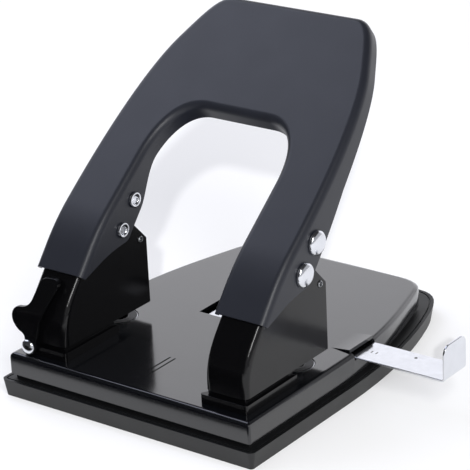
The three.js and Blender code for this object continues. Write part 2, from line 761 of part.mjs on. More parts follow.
function springPath() {
  const low = HEAD_FLOOR_TOP + RUNNING_GAP + SPRING_WIRE / 2;
  const high = COLLAR_BOTTOM - RUNNING_GAP - SPRING_WIRE / 2;
  const steps = SPRING_TURNS * TURN_STEPS;
  const points = [];
  for (let i = 0; i <= steps; i += 1) {
    const share = i / steps;
    const angle = 2 * Math.PI * i / TURN_STEPS;
    const eased = share + CLOSED_TURN_SHARE * (Math.sin(2 * Math.PI * share) / (-2 * Math.PI));
    points.push(new THREE.Vector3(
      SPRING_RADIUS * Math.cos(angle), SPRING_RADIUS * Math.sin(angle), low + (high - low) * eased,
    ));
  }
  return points;
}

function springGeometry() {
  const path = springPath();
  const rings = path.map((point) => {
    const out = new THREE.Vector3(point.x, point.y, 0).normalize();
    const ring = [];
    for (let i = 0; i < WIRE_SIDES; i += 1) {
      const angle = 2 * Math.PI * i / WIRE_SIDES;
      ring.push(point.clone()
        .addScaledVector(out, SPRING_WIRE / 2 * Math.cos(angle))
        .add(new THREE.Vector3(0, 0, SPRING_WIRE / 2 * Math.sin(angle))));
    }
    return ring;
  });
  const flat = rings[0].map((_, i) => {
    const angle = 2 * Math.PI * i / WIRE_SIDES;
    return new THREE.Vector2(Math.cos(angle), Math.sin(angle));
  });
  return loft(rings, flat, flat);
}

function springLeastGap() {
  const path = springPath();
  let least = Infinity;
  for (let i = 0; i < path.length; i += 1) {
    for (let k = i + TURN_STEPS / 2; k < path.length; k += 1) {
      least = Math.min(least, path[i].distanceTo(path[k]) - SPRING_WIRE);
    }
  }
  return least;
}

// Upper guide block, held between the cheeks by the stop pin

function guideBlockGeometry() {
  const half = HEAD_INNER - RUNNING_GAP;
  const front = PUNCH_Y - GUIDE_BLOCK_FRONT;
  const back = HEAD_DEPTH - RUNNING_GAP;
  const top = GUIDE_BLOCK_BOTTOM + GUIDE_BLOCK_HEIGHT;
  const slope = radians(CHEEK_SLOPE_ANGLE);
  const reach = CHEEK_LOBE - RUNNING_GAP;
  const slopeY = (z) => PIVOT_Y + (reach - (z - PIVOT_Z) * Math.sin(slope)) / Math.cos(slope);
  const slopeZ = (y) => PIVOT_Z + (reach - (y - PIVOT_Y) * Math.cos(slope)) / Math.sin(slope);
  const block = alongX(
    polygon([
      [front, GUIDE_BLOCK_BOTTOM], [back, GUIDE_BLOCK_BOTTOM], [back, slopeZ(back)],
      [slopeY(top), top], [front, top],
    ]),
    -half,
    half,
  );
  return geometryOf(cut(
    solid(block),
    rodZ(PUNCH_RADIUS + RUNNING_GAP, GUIDE_BLOCK_BOTTOM - OVERRUN, top + OVERRUN, 0, PUNCH_Y),
    rodX(STOP_PIN_CORE + FIT_GAP, -HEAD_WIDTH, HEAD_WIDTH, STOP_PIN_Y, STOP_PIN_Z, SMALL_ROUND),
  ));
}

// Stop pin: full ends in the cheeks and a thinner core that passes behind the punch

function stopPinGeometry() {
  const half = HEAD_HALF + STOP_PIN_PROUD;
  const pin = revolved([
    [0, -half],
    [STOP_PIN_RADIUS, -half],
    [STOP_PIN_RADIUS, -HEAD_INNER],
    [STOP_PIN_CORE, -HEAD_INNER],
    [STOP_PIN_CORE, HEAD_INNER],
    [STOP_PIN_RADIUS, HEAD_INNER],
    [STOP_PIN_RADIUS, half],
    [0, half],
  ], SMALL_ROUND);
  return outward(pin.rotateZ(-Math.PI / 2).translate(0, STOP_PIN_Y, STOP_PIN_Z));
}

// Cross rivets: domed head on the outside of the leg, rolled hollow tail on the inside

const DOME_SHARES = [[1, 0], [0.96, 0.34], [0.8, 0.68], [0.5, 0.91], [0, 1]];
const ROLL_SHARES = [[1, 0.3], [0.86, 1], [0.66, 0.82]];

function crossRivetGeometry(y, z, outerSide) {
  const seat = LEG_HALF + RUNNING_GAP;
  const tailTop = seat + RIVET_TAIL_HEIGHT;
  const dome = DOME_SHARES.map(([u, v]) => [RIVET_HEAD_RADIUS * u, seat + RIVET_HEAD_HEIGHT * v]);
  const roll = ROLL_SHARES.map(([u, v]) => [RIVET_TAIL_RADIUS * u, -seat - RIVET_TAIL_HEIGHT * v]);
  const hollow = [[RIVET_TAIL_HOLLOW, -tailTop + RIVET_TAIL_HEIGHT], [0, -tailTop + RIVET_TAIL_HEIGHT]];
  const rivet = revolved([
    ...dome.slice().reverse(),
    [PIN_RADIUS, seat],
    [PIN_RADIUS, -seat],
    [RIVET_TAIL_RADIUS, -seat],
    ...roll,
    ...hollow,
  ], ROUND);
  return outward(rivet.rotateZ(-outerSide * Math.PI / 2).translate(0, y, z));
}

// Handle: one pressing whose channel section runs up one leg, round the top and down the other

const handleFoot = (() => {
  const vertexZ = FOOT_HEIGHT + HEAD_FRONT_RISE;
  const lean = radians(HEAD_LEAN_ANGLE);
  const off = RUNNING_GAP + HANDLE_SHEET;
  return {
    y: HANDLE_START * Math.cos(lean) - off * Math.sin(lean),
    z: vertexZ + HANDLE_START * Math.sin(lean) + off * Math.cos(lean),
  };
})();
const handleWeb = bentProfile(
  handleFoot, HEAD_LEAN_ANGLE, HANDLE_LOWER, HANDLE_SWEEP_RADIUS, HANDLE_LEAN_ANGLE,
);

const HALVINGS = 60;

function stationOf(y, z) {
  let low = 0;
  let high = HANDLE_LENGTH;
  for (let i = 0; i < HALVINGS; i += 1) {
    const middle = (low + high) / 2;
    const point = handleWeb(middle);
    const ahead = (y - point.y) * Math.cos(point.angle) + (z - point.z) * Math.sin(point.angle);
    if (ahead > 0) low = middle;
    else high = middle;
  }
  const point = handleWeb(low);
  return { station: low, depth: Math.hypot(y - point.y, z - point.z) };
}

function upperHull(points) {
  const sorted = points.slice().sort((a, b) => a[0] - b[0]);
  const hull = [];
  sorted.forEach((point) => {
    while (hull.length > 1) {
      const [a, b] = hull.slice(-2);
      const turn = (b[0] - a[0]) * (point[1] - a[1]) - (b[1] - a[1]) * (point[0] - a[0]);
      if (turn < 0) break;
      hull.pop();
    }
    hull.push(point);
  });
  return (station) => {
    const next = hull.findIndex(([at]) => at > station);
    if (next < 0) return hull[hull.length - 1][1];
    const [a, b] = [hull[Math.max(next - 1, 0)], hull[next]];
    return THREE.MathUtils.mapLinear(station, a[0], b[0], a[1], b[1]);
  };
}

const pivotOnWeb = stationOf(PIVOT_Y, PIVOT_Z);
const driveOnWeb = stationOf(DRIVE_Y, DRIVE_Z);

const lowerFlangeDepth = upperHull([
  [0, HANDLE_FOOT_DEPTH],
  [HANDLE_WAIST, HANDLE_WAIST_DEPTH],
  ...[pivotOnWeb, driveOnWeb].flatMap(({ station, depth }) => {
    const arc = [];
    for (let i = 0; i <= SMALL_ROUND; i += 1) {
      const angle = Math.PI * i / SMALL_ROUND;
      arc.push([station - HANDLE_LOBE * Math.cos(angle), depth + HANDLE_LOBE * Math.sin(angle)]);
    }
    return arc;
  }),
]);

function outerFlangeDepth(station) {
  if (station < HANDLE_WAIST) return lowerFlangeDepth(station);
  const left = (HANDLE_LENGTH - station) / (HANDLE_LENGTH - HANDLE_WAIST);
  return HANDLE_RIM_DEPTH + (HANDLE_WAIST_DEPTH - HANDLE_RIM_DEPTH) * left * left;
}

function innerFlangeDepth(station) {
  const outer = outerFlangeDepth(station);
  const share = THREE.MathUtils.smoothstep(
    station, driveOnWeb.station, driveOnWeb.station + WINDOW_FLANGE_RUN,
  );
  return THREE.MathUtils.lerp(outer, WINDOW_FLANGE, share);
}

const OUTER_PULL_SHARES = [[1, 0.533], [0.931, 0.7345]];
const TOP_SIDE_SHARES = [0.829, 0.8354];
const TOP_PULL_SHARES = [[0.737, 0.9266], [0.678, 1]];
const TOP_START_SHARE = 0.536;
const WINDOW_SIDE_SHARE = 0.68;
const WINDOW_PULL_SHARES = [[1, 0.894], [0.777, 1]];
const WINDOW_TOP_SHARE = 0.473;
const LEG_STATIONS = 10;
const FAN_STATIONS = 16;
const TOP_STATIONS = 2;

function outerPath() {
  const at = ([u, v]) => [HANDLE_HALF * u, HANDLE_LENGTH * v];
  const path = new THREE.Path();
  path.moveTo(HANDLE_HALF, HANDLE_STRAIGHT);
  path.bezierCurveTo(...at(OUTER_PULL_SHARES[0]), ...at(OUTER_PULL_SHARES[1]), ...at(TOP_SIDE_SHARES));
  path.bezierCurveTo(
    ...at(TOP_PULL_SHARES[0]), ...at(TOP_PULL_SHARES[1]), HANDLE_HALF * TOP_START_SHARE, HANDLE_LENGTH,
  );
  return path;
}

function windowPath() {
  const at = ([u, v]) => [WINDOW_HALF * u, WINDOW_HEIGHT * v];
  const path = new THREE.Path();
  path.moveTo(WINDOW_HALF, HANDLE_STRAIGHT);
  path.lineTo(WINDOW_HALF, WINDOW_HEIGHT * WINDOW_SIDE_SHARE);
  path.bezierCurveTo(
    ...at(WINDOW_PULL_SHARES[0]), ...at(WINDOW_PULL_SHARES[1]),
    WINDOW_HALF * WINDOW_TOP_SHARE, WINDOW_HEIGHT,
  );
  return path;
}

function handleEdge(x, station, tangent, sense) {
  const inward = [-sense * tangent.y, sense * tangent.x];
  const depth = sense > 0 ? outerFlangeDepth(station) : innerFlangeDepth(station);
  return { x, station, inward, depth };
}

function handleSections() {
  const up = new THREE.Vector2(0, 1);
  const across = new THREE.Vector2(-1, 0);
  const pairs = [];
  for (let i = 0; i < LEG_STATIONS; i += 1) {
    const station = HANDLE_STRAIGHT * i / LEG_STATIONS;
    pairs.push([handleEdge(HANDLE_HALF, station, up, 1), handleEdge(WINDOW_HALF, station, up, -1)]);
  }
  const outer = outerPath();
  const inner = windowPath();
  for (let i = 0; i <= FAN_STATIONS; i += 1) {
    const share = i / FAN_STATIONS;
    pairs.push([outer, inner].map((path, which) => {
      const point = path.getPointAt(share);
      return handleEdge(point.x, point.y, path.getTangentAt(share), which === 0 ? 1 : -1);
    }));
  }
  for (let i = 1; i <= TOP_STATIONS; i += 1) {
    const share = 1 - i / TOP_STATIONS;
    pairs.push([
      handleEdge(HANDLE_HALF * TOP_START_SHARE * share, HANDLE_LENGTH, across, 1),
      handleEdge(WINDOW_HALF * WINDOW_TOP_SHARE * share, WINDOW_HEIGHT, across, -1),
    ]);
  }
  const right = pairs.map((edges) => channelSection(edges, HANDLE_BEND, HANDLE_SHEET));
  const left = right.slice(0, -1).reverse().map(
    (section) => section.map((point) => ({ ...point, x: -point.x })),
  );
  return [...right, ...left];
}

function handleGeometry() {
  const sections = handleSections();
  const rings = sections.map((section) => section.map(
    (point) => onProfile(handleWeb, point.x, point.station, point.depth),
  ));
  const flat = sections[0].map((point) => new THREE.Vector2(point.x, -point.depth));
  const lastFlat = sections[sections.length - 1].map((point) => new THREE.Vector2(point.x, -point.depth));
  const body = solid(loft(rings, flat, lastFlat));
  const reach = HANDLE_HALF + OVERRUN;
  return geometryOf(cut(
    body,
    rodX(PIN_RADIUS + RUNNING_GAP, -reach, reach, PIVOT_Y, PIVOT_Z),
    rodX(PIN_RADIUS + FIT_GAP, -reach, reach, DRIVE_Y, DRIVE_Z),
  ));
}

// Lock lever: flat plate with a thumb lobe, swinging on a rivet in the left head's front

const LOCK_RIGHT_PULL_SHARES = [[0.14, 0.28], [0.33, 0.6]];
const LOCK_RIGHT_SHARES = [0.4, 0.93];
const LOCK_TIP_PULL_SHARES = [[0.42, 1.03], [0.06, 1.03]];
const LOCK_TIP_SHARES = [0.27, 1.03];
const LOCK_LEFT_SHARES = [0.05, 0.95];
const LOCK_NECK_SHARES = [0.035, 0.78];
const LOCK_NECK_PULL_SHARES = [0.03, 0.61];
const LOCK_LOBE_TOP_SHARES = [-0.19, 0.6];
const LOCK_LOBE_PULL_SHARES = [[-0.32, 0.59], [-0.37, 0.38]];
const LOCK_LOBE_LOW_SHARES = [-0.18, 0.232];
const LOCK_SHANK_PULL_SHARES = [0, 0.18];
const LOCK_RIVET_LENGTH = 4;

function lockOutline() {
  const at = ([u, v]) => [LOCK_X + LOCK_REACH * u, LOCK_RISE + LOCK_REACH * v];
  const outline = new THREE.Shape();
  outline.moveTo(LOCK_X + LOCK_EYE, LOCK_RISE);
  outline.bezierCurveTo(
    ...at(LOCK_RIGHT_PULL_SHARES[0]), ...at(LOCK_RIGHT_PULL_SHARES[1]), ...at(LOCK_RIGHT_SHARES),
  );
  outline.quadraticCurveTo(...at(LOCK_TIP_PULL_SHARES[0]), ...at(LOCK_TIP_SHARES));
  outline.quadraticCurveTo(...at(LOCK_TIP_PULL_SHARES[1]), ...at(LOCK_LEFT_SHARES));
  outline.lineTo(...at(LOCK_NECK_SHARES));
  outline.quadraticCurveTo(...at(LOCK_NECK_PULL_SHARES), ...at(LOCK_LOBE_TOP_SHARES));
  outline.bezierCurveTo(
    ...at(LOCK_LOBE_PULL_SHARES[0]), ...at(LOCK_LOBE_PULL_SHARES[1]), ...at(LOCK_LOBE_LOW_SHARES),
  );
  outline.quadraticCurveTo(...at(LOCK_SHANK_PULL_SHARES), LOCK_X - LOCK_EYE, LOCK_RISE);
  outline.absarc(LOCK_X, LOCK_RISE, LOCK_EYE, Math.PI, Math.PI * 2, false);
  return outline;
}

function bentSheet(profile, stations, left, right, near, far) {
  const rings = stations.map((station) => [
    [left, near], [right, near], [right, far], [left, far],
  ].map(([x, depth]) => onProfile(profile, x, station, depth)));
  const flat = [[left, -near], [right, -near], [right, -far], [left, -far]].map(
    ([x, y]) => new THREE.Vector2(x, y),
  );
  return loft(rings, flat, flat);
}

function lockLeverGeometry() {
  const stations = Array.from(
    { length: LEG_STATIONS * 2 }, (_, i) => -FOOT_HEIGHT + HEAD_WEB_LENGTH * i / (LEG_STATIONS * 2 - 1),
  );
  const sheet = bentSheet(
    headFront, stations, LOCK_X - LOCK_REACH, LOCK_X + LOCK_REACH,
    -LOCK_STANDOFF - LOCK_SHEET, -LOCK_STANDOFF,
  );
  const outline = solid(alongY(lockOutline(), -LOCK_REACH, LOCK_REACH, CURVE_POINTS));
  const hole = rodY(
    LOCK_RIVET_RADIUS + RUNNING_GAP, -LOCK_REACH, LOCK_REACH, LOCK_X, LOCK_RISE, SMALL_ROUND,
  );
  return geometryOf(cut(solid(sheet).intersect(outline), hole));
}

function lockRivetGeometry() {
  const front = LOCK_STANDOFF + LOCK_SHEET + RUNNING_GAP;
  const dome = DOME_SHARES.map(([u, v]) => [LOCK_RIVET_HEAD * u, front + LOCK_RIVET_HEAD_HEIGHT * v]);
  const rivet = revolved([
    [0, FOOT_NOSE - LOCK_RIVET_LENGTH],
    [LOCK_RIVET_RADIUS, FOOT_NOSE - LOCK_RIVET_LENGTH],
    [LOCK_RIVET_RADIUS, front],
    ...dome,
  ], SMALL_ROUND);
  return outward(rivet.rotateX(Math.PI).translate(LOCK_X, 0, LOCK_RISE));
}

// Paper guide: flat strip with an upturned end, sliding in a hat-section runner under the table

function paperGuideGeometry() {
  const left = GUIDE_TAB_X - GUIDE_LENGTH;
  const outline = new THREE.Shape();
  const top = GUIDE_BOTTOM + GUIDE_TAB_HEIGHT;
  const inner = GUIDE_BEND - GUIDE_SHEET;
  outline.moveTo(left, GUIDE_BOTTOM);
  outline.absarc(GUIDE_TAB_X - GUIDE_BEND, GUIDE_BOTTOM + GUIDE_BEND, GUIDE_BEND, -Math.PI / 2, 0, false);
  outline.lineTo(GUIDE_TAB_X, top);
  outline.lineTo(GUIDE_TAB_X - GUIDE_SHEET, top);
  outline.absarc(GUIDE_TAB_X - GUIDE_BEND, GUIDE_BOTTOM + GUIDE_BEND, inner, 0, -Math.PI / 2, true);
  outline.lineTo(left, GUIDE_TOP);
  const half = GUIDE_WIDTH / 2;
  const bent = solid(alongY(outline, GUIDE_MIDDLE - half, GUIDE_MIDDLE + half, ARC));
  const corner = GUIDE_TAB_CORNER;
  const trims = [-1, 1].map((side) => {
    const edge = GUIDE_MIDDLE + side * half;
    const trim = new THREE.Shape();
    trim.moveTo(edge + side * OVERRUN, top - corner);
    trim.lineTo(edge, top - corner);
    trim.absarc(
      edge - side * corner, top - corner, corner, side > 0 ? 0 : Math.PI, Math.PI / 2, side < 0,
    );
    trim.lineTo(edge - side * corner, top + OVERRUN);
    trim.lineTo(edge + side * OVERRUN, top + OVERRUN);
    return alongX(trim, GUIDE_TAB_X - GUIDE_BEND, GUIDE_TAB_X + OVERRUN, ARC);
  });
  return geometryOf(cut(bent, ...trims));
}

function runnerGeometry() {
  const inner = GUIDE_WIDTH / 2 + RUNNING_GAP;
  const outer = inner + RUNNER_SHEET;
  const wing = outer + RUNNER_LIP;
  const floorTop = GUIDE_BOTTOM - RUNNING_GAP;
  const wingLow = TABLE_UNDERSIDE - RUNNER_SHEET;
  const right = PLATE_WIDTH / 2 - RUNNER_INSET;
  const outline = polygon([
    [GUIDE_MIDDLE - wing, wingLow], [GUIDE_MIDDLE - outer, wingLow],
    [GUIDE_MIDDLE - outer, floorTop - RUNNER_SHEET], [GUIDE_MIDDLE + outer, floorTop - RUNNER_SHEET],
    [GUIDE_MIDDLE + outer, wingLow], [GUIDE_MIDDLE + wing, wingLow],
    [GUIDE_MIDDLE + wing, TABLE_UNDERSIDE], [GUIDE_MIDDLE + inner, TABLE_UNDERSIDE],
    [GUIDE_MIDDLE + inner, floorTop], [GUIDE_MIDDLE - inner, floorTop],
    [GUIDE_MIDDLE - inner, TABLE_UNDERSIDE], [GUIDE_MIDDLE - wing, TABLE_UNDERSIDE],
  ]);
  return outward(alongX(outline, right - RUNNER_LENGTH, right));
}

// Finishes

function finish(color, roughness, metalness) {
  return new THREE.MeshStandardMaterial({ color, roughness, metalness, flatShading: true });
}

function blackEnamel() {
  return finish(0x2e3036, 0.35, 0.1);
}

function satinGreyEnamel() {
  return finish(0x4a4d57, 0.45, 0.2);
}

function blackPlastic() {
  return finish(0x1b1c1f, 0.6, 0);
}

function brightSteel() {
  return finish(0xd9dbdd, 0.2, 1);
}

function greySteel() {
  return finish(0x8e9196, 0.4, 0.9);
}

// Assembly

const group = new THREE.Group();

function place(parent, name, geometry, material) {
  const mesh = new THREE.Mesh(geometry, material);
  mesh.name = name;
  mesh.geometry.computeVertexNormals();
  parent.add(mesh);
  return mesh;
}

place(group, 'chip_tray', trayGeometry(), blackPlastic());
place(group, 'base_plate', tableGeometry(), satinGreyEnamel());
place(group, 'paper_guide', paperGuideGeometry(), brightSteel());
place(group, 'guide_runner', runnerGeometry(), greySteel());

const linkage = new THREE.Group();
linkage.position.set(0, HEAD_FRONT, TABLE_HEIGHT);
group.add(linkage);
place(linkage, 'handle', handleGeometry(), satinGreyEnamel());

headSides().forEach((side) => {
  const word = side < 0 ? 'left' : 'right';
  const head = new THREE.Group();
  head.position.set(side * HOLE_SPACING / 2, HEAD_FRONT, TABLE_HEIGHT);
  group.add(head);
  place(head, `${word}_foot_block`, footBlockGeometry(side < 0), blackEnamel());
  place(head, `${word}_head_frame`, headFrameGeometry(), blackEnamel());
  place(head, `${word}_die`, dieGeometry(), greySteel()).position.y = PUNCH_Y;
  place(head, `${word}_punch`, punchGeometry(), brightSteel()).position.y = PUNCH_Y;
  place(head, `${word}_spring_collar`, collarGeometry(), greySteel()).position.y = PUNCH_Y;
  place(head, `${word}_return_spring`, springGeometry(), greySteel()).position.y = PUNCH_Y;
  place(head, `${word}_guide_block`, guideBlockGeometry(), greySteel());
  place(head, `${word}_stop_pin`, stopPinGeometry(), greySteel());
  place(head, `${word}_pivot_rivet`, crossRivetGeometry(PIVOT_Y, PIVOT_Z, side), brightSteel());
  place(head, `${word}_drive_rivet`, crossRivetGeometry(DRIVE_Y, DRIVE_Z, side), brightSteel());
  HEAD_RIVET_PLACES.forEach((y, i) => {
    const name = `${word}_head_rivet_${i === 0 ? 'front' : 'rear'}`;
    place(head, name, headRivetGeometry(), greySteel()).position.y = y;
  });
  if (side < 0) {
    place(head, 'lock_lever', lockLeverGeometry(), blackEnamel());
    place(head, 'lock_rivet', lockRivetGeometry(), brightSteel());
  }
});

console.log(`return spring, least gap to itself: ${springLeastGap().toFixed(2)} mm`);

export default group;
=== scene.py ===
"""Looks for the heavy two-hole punch: finely made pieces, finishes, studio and camera."""

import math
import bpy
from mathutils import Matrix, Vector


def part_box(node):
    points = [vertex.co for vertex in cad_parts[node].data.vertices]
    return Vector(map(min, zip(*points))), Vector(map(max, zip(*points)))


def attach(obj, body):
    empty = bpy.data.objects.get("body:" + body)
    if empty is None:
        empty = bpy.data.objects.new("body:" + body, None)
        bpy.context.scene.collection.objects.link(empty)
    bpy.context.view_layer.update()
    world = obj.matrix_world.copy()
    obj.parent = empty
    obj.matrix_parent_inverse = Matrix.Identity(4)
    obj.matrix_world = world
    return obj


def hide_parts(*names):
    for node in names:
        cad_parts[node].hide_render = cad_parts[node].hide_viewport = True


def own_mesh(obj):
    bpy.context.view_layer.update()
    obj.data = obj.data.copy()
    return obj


bl_info = {
    "name": "Two-hole punch",
    "version": (1, 0, 0),
    "blender": (4, 2, 0),
    "location": "3D View > Sidebar > Punch",
    "description": "Builds the pieces, finishes and studio of a heavy two-hole paper punch",
    "category": "Add Mesh",
}

import bmesh
import bpy
from bpy.props import FloatProperty, FloatVectorProperty, IntProperty, PointerProperty
from mathutils import Matrix, Vector
from mathutils.geometry import interpolate_bezier

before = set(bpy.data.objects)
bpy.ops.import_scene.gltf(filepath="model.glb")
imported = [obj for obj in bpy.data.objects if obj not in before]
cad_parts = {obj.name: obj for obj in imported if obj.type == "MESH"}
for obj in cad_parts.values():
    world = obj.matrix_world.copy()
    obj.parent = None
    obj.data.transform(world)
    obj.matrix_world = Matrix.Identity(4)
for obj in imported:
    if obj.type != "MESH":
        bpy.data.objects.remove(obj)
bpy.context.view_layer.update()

MM = 0.001


def metres(values):
    """Millimetres turned to metres."""
    return tuple(value * MM for value in values)


def linear(hex_colour):
    """Turns an sRGB hex colour into the linear values that shaders and colour sliders hold."""
    channels = [int(hex_colour[i : i + 2], 16) / 255 for i in (1, 3, 5)]
    return tuple(c / 12.92 if c <= 0.04045 else ((c + 0.055) / 1.055) ** 2.4 for c in channels)


# Sizes and colours that a user may change


def length(name, description, default):
    return FloatProperty(name=name, description=description, default=default * MM, unit="LENGTH", precision=5)


def colour(name, description, default):
    return FloatVectorProperty(
        name=name, description=description, default=linear(default), subtype="COLOR", size=3, min=0, max=1
    )


class PunchSizes(bpy.types.PropertyGroup):
    """Sizes of the pieces, which follow the solid model"""

    head_spacing: length("Hole spacing", "Distance between the two punch axes", 80)
    head_front: length("Heads' front", "Where the heads' front faces lie from the origin", -64.5)
    table_top: length("Table height", "Height of the table's top above the desk", 16.5)
    sheet: length("Sheet", "Thickness of the handle's sheet", 1.2)
    pivot_y: length("Pivot setback", "Pivot rivet behind the heads' front faces", 32.9)
    pivot_z: length("Pivot height", "Pivot rivet above the table", 39.3)
    crank: length("Crank", "Distance between the pivot and the drive rivets", 12)
    crank_angle: FloatProperty(
        name="Crank angle", description="Rise of the line from pivot to drive rivet at rest",
        default=math.radians(50), subtype="ANGLE",
    )
    leg_half: length("Half leg", "Half the width of one leg of the handle", 10.9)
    edge_radius: length("Edge softness", "Radius of the handle's broken edges", 0.25)
    round_steps: IntProperty(
        name="Round steps", description="Steps round a full turn", default=96, min=24, max=256
    )


class PunchColours(bpy.types.PropertyGroup):
    """Colours of the finishes"""

    handle: colour("Handle", "Satin enamel of the handle", "#1c1e25")
    table: colour("Table", "Gloss enamel of the table", "#08090c")
    heads: colour("Heads", "Gloss enamel of the punch heads", "#050506")
    tray: colour("Tray", "Moulded plastic of the chip tray", "#0e0f10")
    nickel: colour("Nickel plate", "Plated rivets and guide", "#dfe1e6")
    steel: colour("Ground steel", "Punches, blocks and pins", "#96989b")
    blued: colour("Blued steel", "Hardened dies", "#191a1d")
    spring: colour("Spring steel", "Return springs", "#73757a")
    floor: colour("Floor", "Plain pale floor and backdrop", "#ffffff")


def sizes():
    return bpy.context.scene.punch_sizes


def colours():
    return bpy.context.scene.punch_colours


def head_sides():
    return ((-1, "left"), (1, "right"))


def drive_place():
    """How far the drive rivets lie behind the heads' front faces and above the table."""
    s = sizes()
    return s.pivot_y + s.crank * math.cos(s.crank_angle), s.pivot_z + s.crank * math.sin(s.crank_angle)


# Mesh helpers: gaps and widths in millimetres, angles in degrees

WELD_GAP = 0.001
SOLID_WELD_GAP = 0.002
FLAT_ANGLE = 0.5
FLAT_FACE_WEIGHT = 80
EDGE_ANGLE = 32
EDGE_SEGMENTS = 3
TURNED_EDGE_ANGLE = 40
CORNER_STEPS = 3


def adopted(name, bm, material, body, nodes, smooth_angle):
    """Makes the mesh an object as it is, smooth between its sharp edges, and hands it to the frame."""
    mesh = bpy.data.meshes.new(name)
    limit = math.radians(smooth_angle)
    for face in bm.faces:
        face.smooth = True
    for edge in bm.edges:
        edge.smooth = len(edge.link_faces) == 2 and edge.calc_face_angle(0) < limit
    bm.to_mesh(mesh)
    bm.free()
    mesh.materials.append(material)
    piece = bpy.data.objects.new(name, mesh)
    bpy.context.scene.collection.objects.link(piece)
    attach(piece, body)
    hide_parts(*nodes)
    return piece


def finished(name, bm, material, body, nodes, smooth_angle=TURNED_EDGE_ANGLE):
    """Turns the mesh's faces outward and makes it an object."""
    bmesh.ops.recalc_face_normals(bm, faces=bm.faces)
    return adopted(name, bm, material, body, nodes, smooth_angle)


def eased(piece, width, segments, angle):
    """Breaks the piece's sharp edges with a small radius and keeps its flat faces flat."""
    bevel = piece.modifiers.new("Broken edges", "BEVEL")
    bevel.width = width
    bevel.segments = segments
    bevel.limit_method = "ANGLE"
    bevel.angle_limit = math.radians(angle)
    bevel.harden_normals = False
    bevel.use_clamp_overlap = True
    weighted = piece.modifiers.new("Flat faces", "WEIGHTED_NORMAL")
    weighted.keep_sharp = True
    weighted.weight = FLAT_FACE_WEIGHT


def merged_copy(node_name):
    """A welded copy of a solid's triangles, with its flat faces made whole."""
    bm = bmesh.new()
    bm.from_mesh(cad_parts[node_name].data)
    bmesh.ops.remove_doubles(bm, verts=bm.verts, dist=SOLID_WELD_GAP * MM)
    bmesh.ops.dissolve_limit(bm, angle_limit=math.radians(FLAT_ANGLE), verts=bm.verts, edges=bm.edges)
    return bm


def softened(node_name, kind, body, width, segments=EDGE_SEGMENTS, angle=EDGE_ANGLE, form=merged_copy):
    """A piece in the form made from its solid, with its edges broken."""
    piece = adopted(f"{node_name}_made", form(node_name), finish(kind), body, [node_name], angle)
    eased(piece, width * MM, segments, angle)


def revolved(profile, steps, turn):
    """Spins a profile of (radius, height) points about Z and turns the result into place."""
    bm = bmesh.new()
    verts = [bm.verts.new((radius * MM, 0, height * MM)) for radius, height in profile]
    edges = [bm.edges.new(pair) for pair in zip(verts, verts[1:])]
    bmesh.ops.spin(
        bm, geom=verts + edges, cent=(0, 0, 0), axis=(0, 0, 1), angle=math.tau, steps=steps, use_merge=True
    )
    bmesh.ops.remove_doubles(bm, verts=bm.verts, dist=WELD_GAP * MM)
    bmesh.ops.transform(bm, matrix=turn, verts=bm.verts)
    return bm


def rounded(points, radius):
    """A profile whose inner corners become soft curves that begin and end a radius away from them."""
    result = [points[0]]
    for before, corner, after in zip(points, points[1:], points[2:]):
        here = Vector(corner)
        back = Vector(before) - here
        on = Vector(after) - here
        reach = min(radius, back.length / 2, on.length / 2)
        start = here + back.normalized() * reach
        end = here + on.normalized() * reach
        for i in range(CORNER_STEPS + 1):
            t = i / CORNER_STEPS
            result.append(tuple(start * (1 - t) ** 2 + here * 2 * t * (1 - t) + end * t ** 2))
    result.append(points[-1])
    return result


def extended(bm, verts, edges, points):
    """Extrudes a line of edges on to new points, kept in the same order."""
    grown = bmesh.ops.extrude_edge_only(bm, edges=edges)["geom"]
    fresh = {item for item in grown if isinstance(item, bmesh.types.BMVert)}
    onward = []
    for vert in verts:
        onward.append(next(e.other_vert(vert) for e in vert.link_edges if e.other_vert(vert) in fresh))
    for vert, point in zip(onward, points):
        vert.co = point
    kept = [e for e in grown if isinstance(e, bmesh.types.BMEdge) and all(v in fresh for v in e.verts)]
    return onward, kept


# Finishes: pattern sizes and relief heights in millimetres

TINT_DETAIL = 4.0
TINT_ROUGHNESS = 0.6
TINT_STOPS = (0.3, 0.7)
GLOSS_DETAIL = 3.0


def node(tree, kind, inputs=(), **settings):
    """Adds one node with its settings, and fills its inputs, each from another node's output or a value."""
    made = tree.nodes.new(kind)
    for key, value in settings.items():
        setattr(made, key, value)
    for key, source in inputs:
        if isinstance(source, bpy.types.NodeSocket):
            tree.links.new(source, made.inputs[key])
        else:
            made.inputs[key].default_value = source
    return made


def finish_tree(name):
    """A new material with its nodes cleared; gives the material, its tree and object coordinates."""
    material = bpy.data.materials.new(name)
    material.use_nodes = True
    tree = material.node_tree
    tree.nodes.clear()
    place = node(tree, "ShaderNodeTexCoord").outputs["Object"]
    return material, tree, place


def per_mm(size):
    """Noise scale that gives features about this many millimetres across."""
    return 1 / (size * MM)


def shaded(tree, inputs):
    """Shows a principled surface with these inputs."""
    surface = node(tree, "ShaderNodeBsdfPrincipled", inputs)
    node(tree, "ShaderNodeOutputMaterial", [("Surface", surface.outputs["BSDF"])])


def tint(tree, place, base, size, spread):
    """The base colour, drifting a little lighter and darker in patches of the given size."""
    patches = node(tree, "ShaderNodeTexNoise", [
        ("Vector", place), ("Scale", per_mm(size)), ("Detail", TINT_DETAIL), ("Roughness", TINT_ROUGHNESS),
    ])
    ramp = node(tree, "ShaderNodeValToRGB", [("Fac", patches.outputs["Fac"])])
    for stop, position, share in zip(ramp.color_ramp.elements, TINT_STOPS, (1 - spread, 1 + spread)):
        stop.position = position
        stop.color = tuple(min(1, c * share) for c in base) + (1,)
    return ramp.outputs["Color"]


